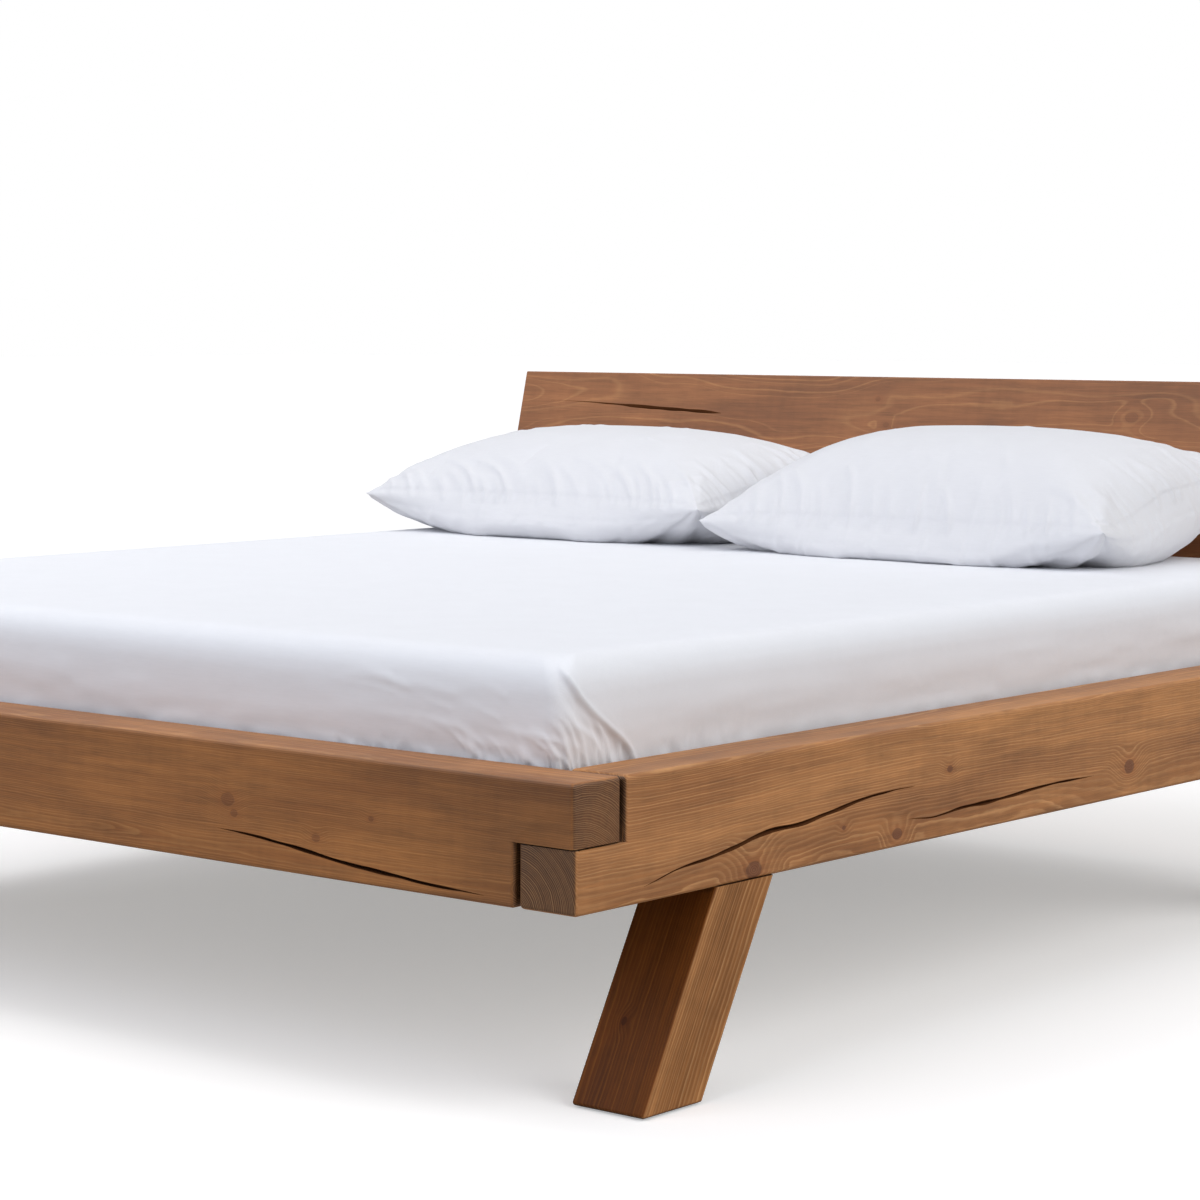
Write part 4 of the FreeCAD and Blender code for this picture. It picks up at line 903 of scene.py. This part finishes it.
def case_folds(spots, panel, half, seed, slant, below):
    """Creases that start at the seam and the ears of a filled case, in its flat panels' own plane."""
    rng = np.random.default_rng(seed)
    total = np.zeros(len(spots))
    x, y = half
    upper, lower = np.flatnonzero(panel > -0.5), np.flatnonzero(panel < 0.5)
    for part, share, step in ((upper, 1.55, 0.027), (lower, below, 0.036)):
        own = np.zeros(len(part))

        def crease(line, heights, widths, widenings, fade):
            tall = share * rng.uniform(*heights)
            fold(own, line, spots[part], tall, rng.uniform(*widths), rng.uniform(*widenings), fade)

        for way in (-1, 1):
            for start in np.arange(-0.84 * x, 0.88 * x, step):
                start += rng.normal(0, 0.3 * step)
                reach = rng.uniform(0.035, 0.12)
                sweep = -rng.uniform(*slant) * reach + 0.25 * reach * (start / x)
                middle = (start + 0.35 * sweep, way * (y - 0.5 * reach))
                line = [(start, way * y), middle, (start + sweep, way * (y - reach))]
                crease(line, (0.0010, 0.0050), (0.0045, 0.0080), (1.3, 2.0), 0.8)
            for start in np.arange(-0.8 * y, 0.84 * y, step):
                start += rng.normal(0, 0.3 * step)
                reach = rng.uniform(0.05, 0.14)
                middle = (way * (x - 0.5 * reach), start - 0.15 * reach)
                end = (way * (x - reach), start + rng.uniform(-0.5, 0.3) * reach)
                crease([(way * x, start), middle, end], (0.0010, 0.0046), (0.0045, 0.0080), (1.3, 2.0), 0.8)
            for other in (-1, 1):
                for angle in np.radians([16, 29, 42, 55, 70]):
                    angle += rng.normal(0, 0.07)
                    reach = rng.uniform(0.09, 0.21)
                    towards = np.array([-way * cos(angle), -other * sin(angle)])
                    corner = np.array([way * x * 0.985, other * y * 0.975])
                    line = [corner, corner + 0.5 * reach * towards, corner + reach * towards * [1, 0.9]]
                    crease(line, (0.0015, 0.0045), (0.0050, 0.0080), (1.6, 2.6), 0.9)
        for _ in range(16):
            start = np.array([rng.uniform(-0.7, 0.7) * x, rng.uniform(-0.7, 0.6) * y])
            reach, angle = rng.uniform(0.05, 0.16), rng.uniform(1.7, 2.7)
            towards = np.array([cos(angle), sin(angle)])
            bend = np.array([towards[1], -towards[0]]) * rng.uniform(-0.15, 0.15) * reach
            line = [start, start + 0.5 * reach * towards + bend, start + reach * towards]
            tall = share * rng.uniform(0.0004, 0.0013)
            fold(own, line, spots[part], tall, rng.uniform(0.006, 0.012), 1.6, 0.9)
        total[part] = own
    from_tip = np.hypot(x - np.abs(spots[:, 0]), y - np.abs(spots[:, 1]))
    return total * np.clip(from_tip / 0.11, 0, 1) ** 1.5


def attribute(piece, name):
    found = np.empty(len(piece.data.vertices))
    piece.data.attributes[name].data.foreach_get("value", found)
    return found


def pillow(name, node, body, tilt, seed, slant, below, seam_drop, ear_shift=(0, 0, 0)):
    """A filled case on the solid's form: two panels, a seam round the ears, creases beside it.

    tilt is the case's lean, slant and below shape its creases, seam_drop lowers the seam of its front,
    and ear_shift moves its front left ear.
    """
    low, high = (np.array(corner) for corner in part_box(node))
    middle, half = (low + high) / 2, (high - low) / 2
    across, deep = 132, 80
    crowding = pi / 2 * 0.86
    u, v = (np.sin(np.linspace(-crowding, crowding, count + 1)) / sin(crowding) for count in (across, deep))
    grid_u, grid_v = np.meshgrid(u, v, indexing="ij")
    crown = ((1 - np.abs(grid_u) ** 3.2) * (1 - np.abs(grid_v) ** 3.2)) ** 0.5
    x = grid_u * (1 - 0.035 * (1 - grid_v**2)) * half[0]
    y = grid_v * (1 - 0.05 * (1 - grid_u**2)) * half[1]
    ear = -0.05
    levels = ((ear + way * crown * (1 - way * ear)) * half[2] for way in (1, -1))
    panels = [np.stack([x, y, level], axis=-1).reshape(-1, 3) for level in levels]
    turn = np.array([[1, 0, 0], [0, cos(tilt), -sin(tilt)], [0, sin(tilt), cos(tilt)]])
    index = np.arange((across + 1) * (deep + 1)).reshape(across + 1, deep + 1)
    rim = (np.abs(grid_u) > 1 - 1e-6) | (np.abs(grid_v) > 1 - 1e-6)
    inside = ~rim.reshape(-1)
    lower = index.copy()
    lower[~rim] = index.size + np.arange(inside.sum())
    faces = []
    for a in range(across):
        for b in range(deep):
            faces.append((index[a, b], index[a + 1, b], index[a + 1, b + 1], index[a, b + 1]))
            faces.append((lower[a, b], lower[a, b + 1], lower[a + 1, b + 1], lower[a + 1, b]))
    faces = [tuple(int(part) for part in face) for face in faces]
    vertices = np.concatenate([panels[0], panels[1][inside]]) @ turn.T + middle
    piece = new_piece(name, vertices, faces, pillow_cotton)
    piece.vertex_groups.new(name="seam").add([int(part) for part in index[rim]], 1.0, "REPLACE")
    for _ in range(3):
        settle = piece.modifiers.new("settle", "SMOOTH")
        settle.factor = 0.5
        settle.iterations = 3
        wrap = piece.modifiers.new("wrap", "SHRINKWRAP")
        wrap.target = nodes[node]
        wrap.wrap_method = "NEAREST_SURFACEPOINT"
    applied(piece)

    # the filling rounds the sides above and below the seam, and not at the ears
    both_u, both_v = (np.append(grid, grid[~rim]) for grid in (grid_u, grid_v))
    panel = np.concatenate([np.where(inside, 1.0, 0.0), np.full(inside.sum(), -1.0)])
    places, normals = coordinates(piece), coordinates(piece, "normal")
    seam_level = middle[2] + ear * half[2] + tan(tilt) * (places[:, 1] - middle[1])
    under = np.clip((places[:, 2] - low[2]) / (seam_level - low[2]), 0, 1)
    over = np.clip((high[2] - places[:, 2]) / (high[2] - seam_level), 0, 1)
    calm = 1 - (np.abs(both_u) * np.abs(both_v)) ** 3
    from_seam = np.minimum((1 - np.abs(both_u)) * half[0], (1 - np.abs(both_v)) * half[1])
    places[:, 2] -= seam_drop * calm * bell(from_seam, 0.07) * np.clip(-both_v * 2, 0, 1)
    swell = np.where(panel < 0, 0.015 * np.sin(pi * under) ** 0.8, 0.007 * np.sin(pi * over) ** 0.8)
    places = places + normals * [1, 1, 0] * (swell * calm)[:, None]
    near_ear = np.clip((-both_u - 0.5) / 0.5, 0, 1) ** 1.5 * np.clip((0.4 - both_v) / 1.4, 0, 1)
    places = places + near_ear[:, None] * np.array(ear_shift)
    floor_level = low[2] + 0.0002
    places[:, 2] = np.maximum(places[:, 2], floor_level)
    place_vertices(piece, places)
    fill_case(piece, grid_u, grid_v, index, rim)

    # finer mesh, then the creases and the seam; the flat panels are deeper than the filled case
    flat_half = np.array([half[0], half[1] * 1.2])
    kept = {"panel_x": both_u * flat_half[0], "panel_y": both_v * flat_half[1], "panel": panel}
    for key, content in kept.items():
        piece.data.attributes.new(key, "FLOAT", "POINT").data.foreach_set("value", content)
    finer = piece.modifiers.new("finer", "SUBSURF")
    finer.levels = finer.render_levels = 1
    applied(piece)
    spots = np.column_stack([attribute(piece, "panel_x"), attribute(piece, "panel_y")])
    places, normals = coordinates(piece), coordinates(piece, "normal")
    push = case_folds(spots, attribute(piece, "panel"), flat_half, seed, slant, below)
    to_edges = flat_half - np.abs(spots)
    to_seam = to_edges.min(axis=1)
    welt = 0.0015 * bell(to_seam, 0.0026) - 0.0011 * bell(to_seam - 0.0062, 0.0032)
    push += welt * np.clip(np.hypot(to_edges[:, 0], to_edges[:, 1]) / 0.04, 0, 1)
    places = places + normals * push[:, None]
    places[:, 2] = np.maximum(places[:, 2], floor_level)
    place_vertices(piece, places)
    standing(piece, node, body)


pillow("left_pillow_case", "pillow_left", "left_pillow", radians(4.5), 1, (0.9, 1.9), 0.5, 0.010)
pillow(
    "right_pillow_case", "pillow_right", "right_pillow", radians(7.5), 2, (0.1, 0.8), 0.9, 0.022,
    ear_shift=(-0.012, 0.0, -0.015),
)


# Floor, world, lamps and camera

s = Shader("pale_floor")
plain_floor = s.node("BsdfDiffuse", {"Color": (0.48, 0.48, 0.48, 1)})[0]
pale = s.node("BsdfDiffuse", {"Color": (0.80, 0.79, 0.78, 1)})[0]
glow = s.node("Emission", {"Color": (1, 1, 1, 1), "Strength": 0.35})[0]
both = s.node("AddShader", {0: pale, 1: glow})[0]
seen = s.node("LightPath")["Is Camera Ray"]
chosen = s.node("MixShader", {0: seen, 1: plain_floor, 2: both})[0]
s.node("OutputMaterial", {"Surface": chosen})
reach = 60.0
corners = [(-reach, -reach, 0), (reach, -reach, 0), (reach, reach, 0), (-reach, reach, 0)]
floor = new_piece("floor", corners, [(0, 1, 2, 3)], s.owner)

s = Shader("studio", bpy.data.worlds)
rays = s.node("LightPath")
seen = s.math("MAXIMUM", rays["Is Camera Ray"], rays["Is Glossy Ray"])
soft = s.node("Background", {"Color": (0.96, 0.98, 1.03, 1), "Strength": 0.26})[0]
white = s.node("Background", {"Color": (1, 1, 1, 1), "Strength": 1.0})[0]
chosen = s.node("MixShader", {0: seen, 1: soft, 2: white})[0]
s.node("OutputWorld", {"Surface": chosen})
scene.world = s.owner


def placed(name, data):
    holder = bpy.data.objects.new(name, data)
    scene.collection.objects.link(holder)
    return holder


def lamp(name, azimuth, elevation, strength, spread, colour=(1, 1, 1)):
    """A far soft lamp; azimuth 0 shines from -Y and 90 from +X."""
    sun = bpy.data.lights.new(name, "SUN")
    sun.energy = strength * pi
    sun.color = colour
    sun.angle = radians(spread)
    a, e = radians(azimuth), radians(elevation)
    toward = Vector((sin(a) * cos(e), -cos(a) * cos(e), sin(e)))
    placed(name, sun).rotation_euler = toward.to_track_quat("Z", "Y").to_euler()


def softbox(name, place, target, size, power):
    """A near lamp, brighter on the side of the bed that it stands at."""
    area = bpy.data.lights.new(name, "AREA")
    area.shape = "SQUARE"
    area.size = size
    area.energy = power
    holder = placed(name, area)
    holder.location = place
    holder.rotation_euler = (Vector(place) - Vector(target)).to_track_quat("Z", "Y").to_euler()


lamp("side_light", 100, 32, 0.52, 54)
lamp("overhead", 40, 82, 0.14, 62)
lamp("front_light", -14, 32, 0.38, 54, (0.95, 0.985, 1.08))
softbox("left_softbox", (-2.4, -1.4, 4.4), (0, 0, 0.5), 2.4, 58)

azimuth, pitch, roll = radians(39.77), radians(5.03), radians(0.13)
forward = Vector((-sin(azimuth) * cos(pitch), cos(azimuth) * cos(pitch), -sin(pitch)))
right = Vector((cos(azimuth), sin(azimuth), 0))
above = right.cross(forward)
right, above = cos(roll) * right + sin(roll) * above, cos(roll) * above - sin(roll) * right
camera = placed("camera", bpy.data.cameras.new("camera"))
camera.data.lens = 95.37
camera.data.sensor_width = 36
camera.data.clip_end = 200
camera.matrix_world = Matrix((
    (right.x, above.x, -forward.x, 3.3904),
    (right.y, above.y, -forward.y, -3.9514),
    (right.z, above.z, -forward.z, 0.9732),
    (0, 0, 0, 1),
))
scene.camera = camera
scene.view_settings.view_transform = "Standard"

bpy.context.view_layer.update()
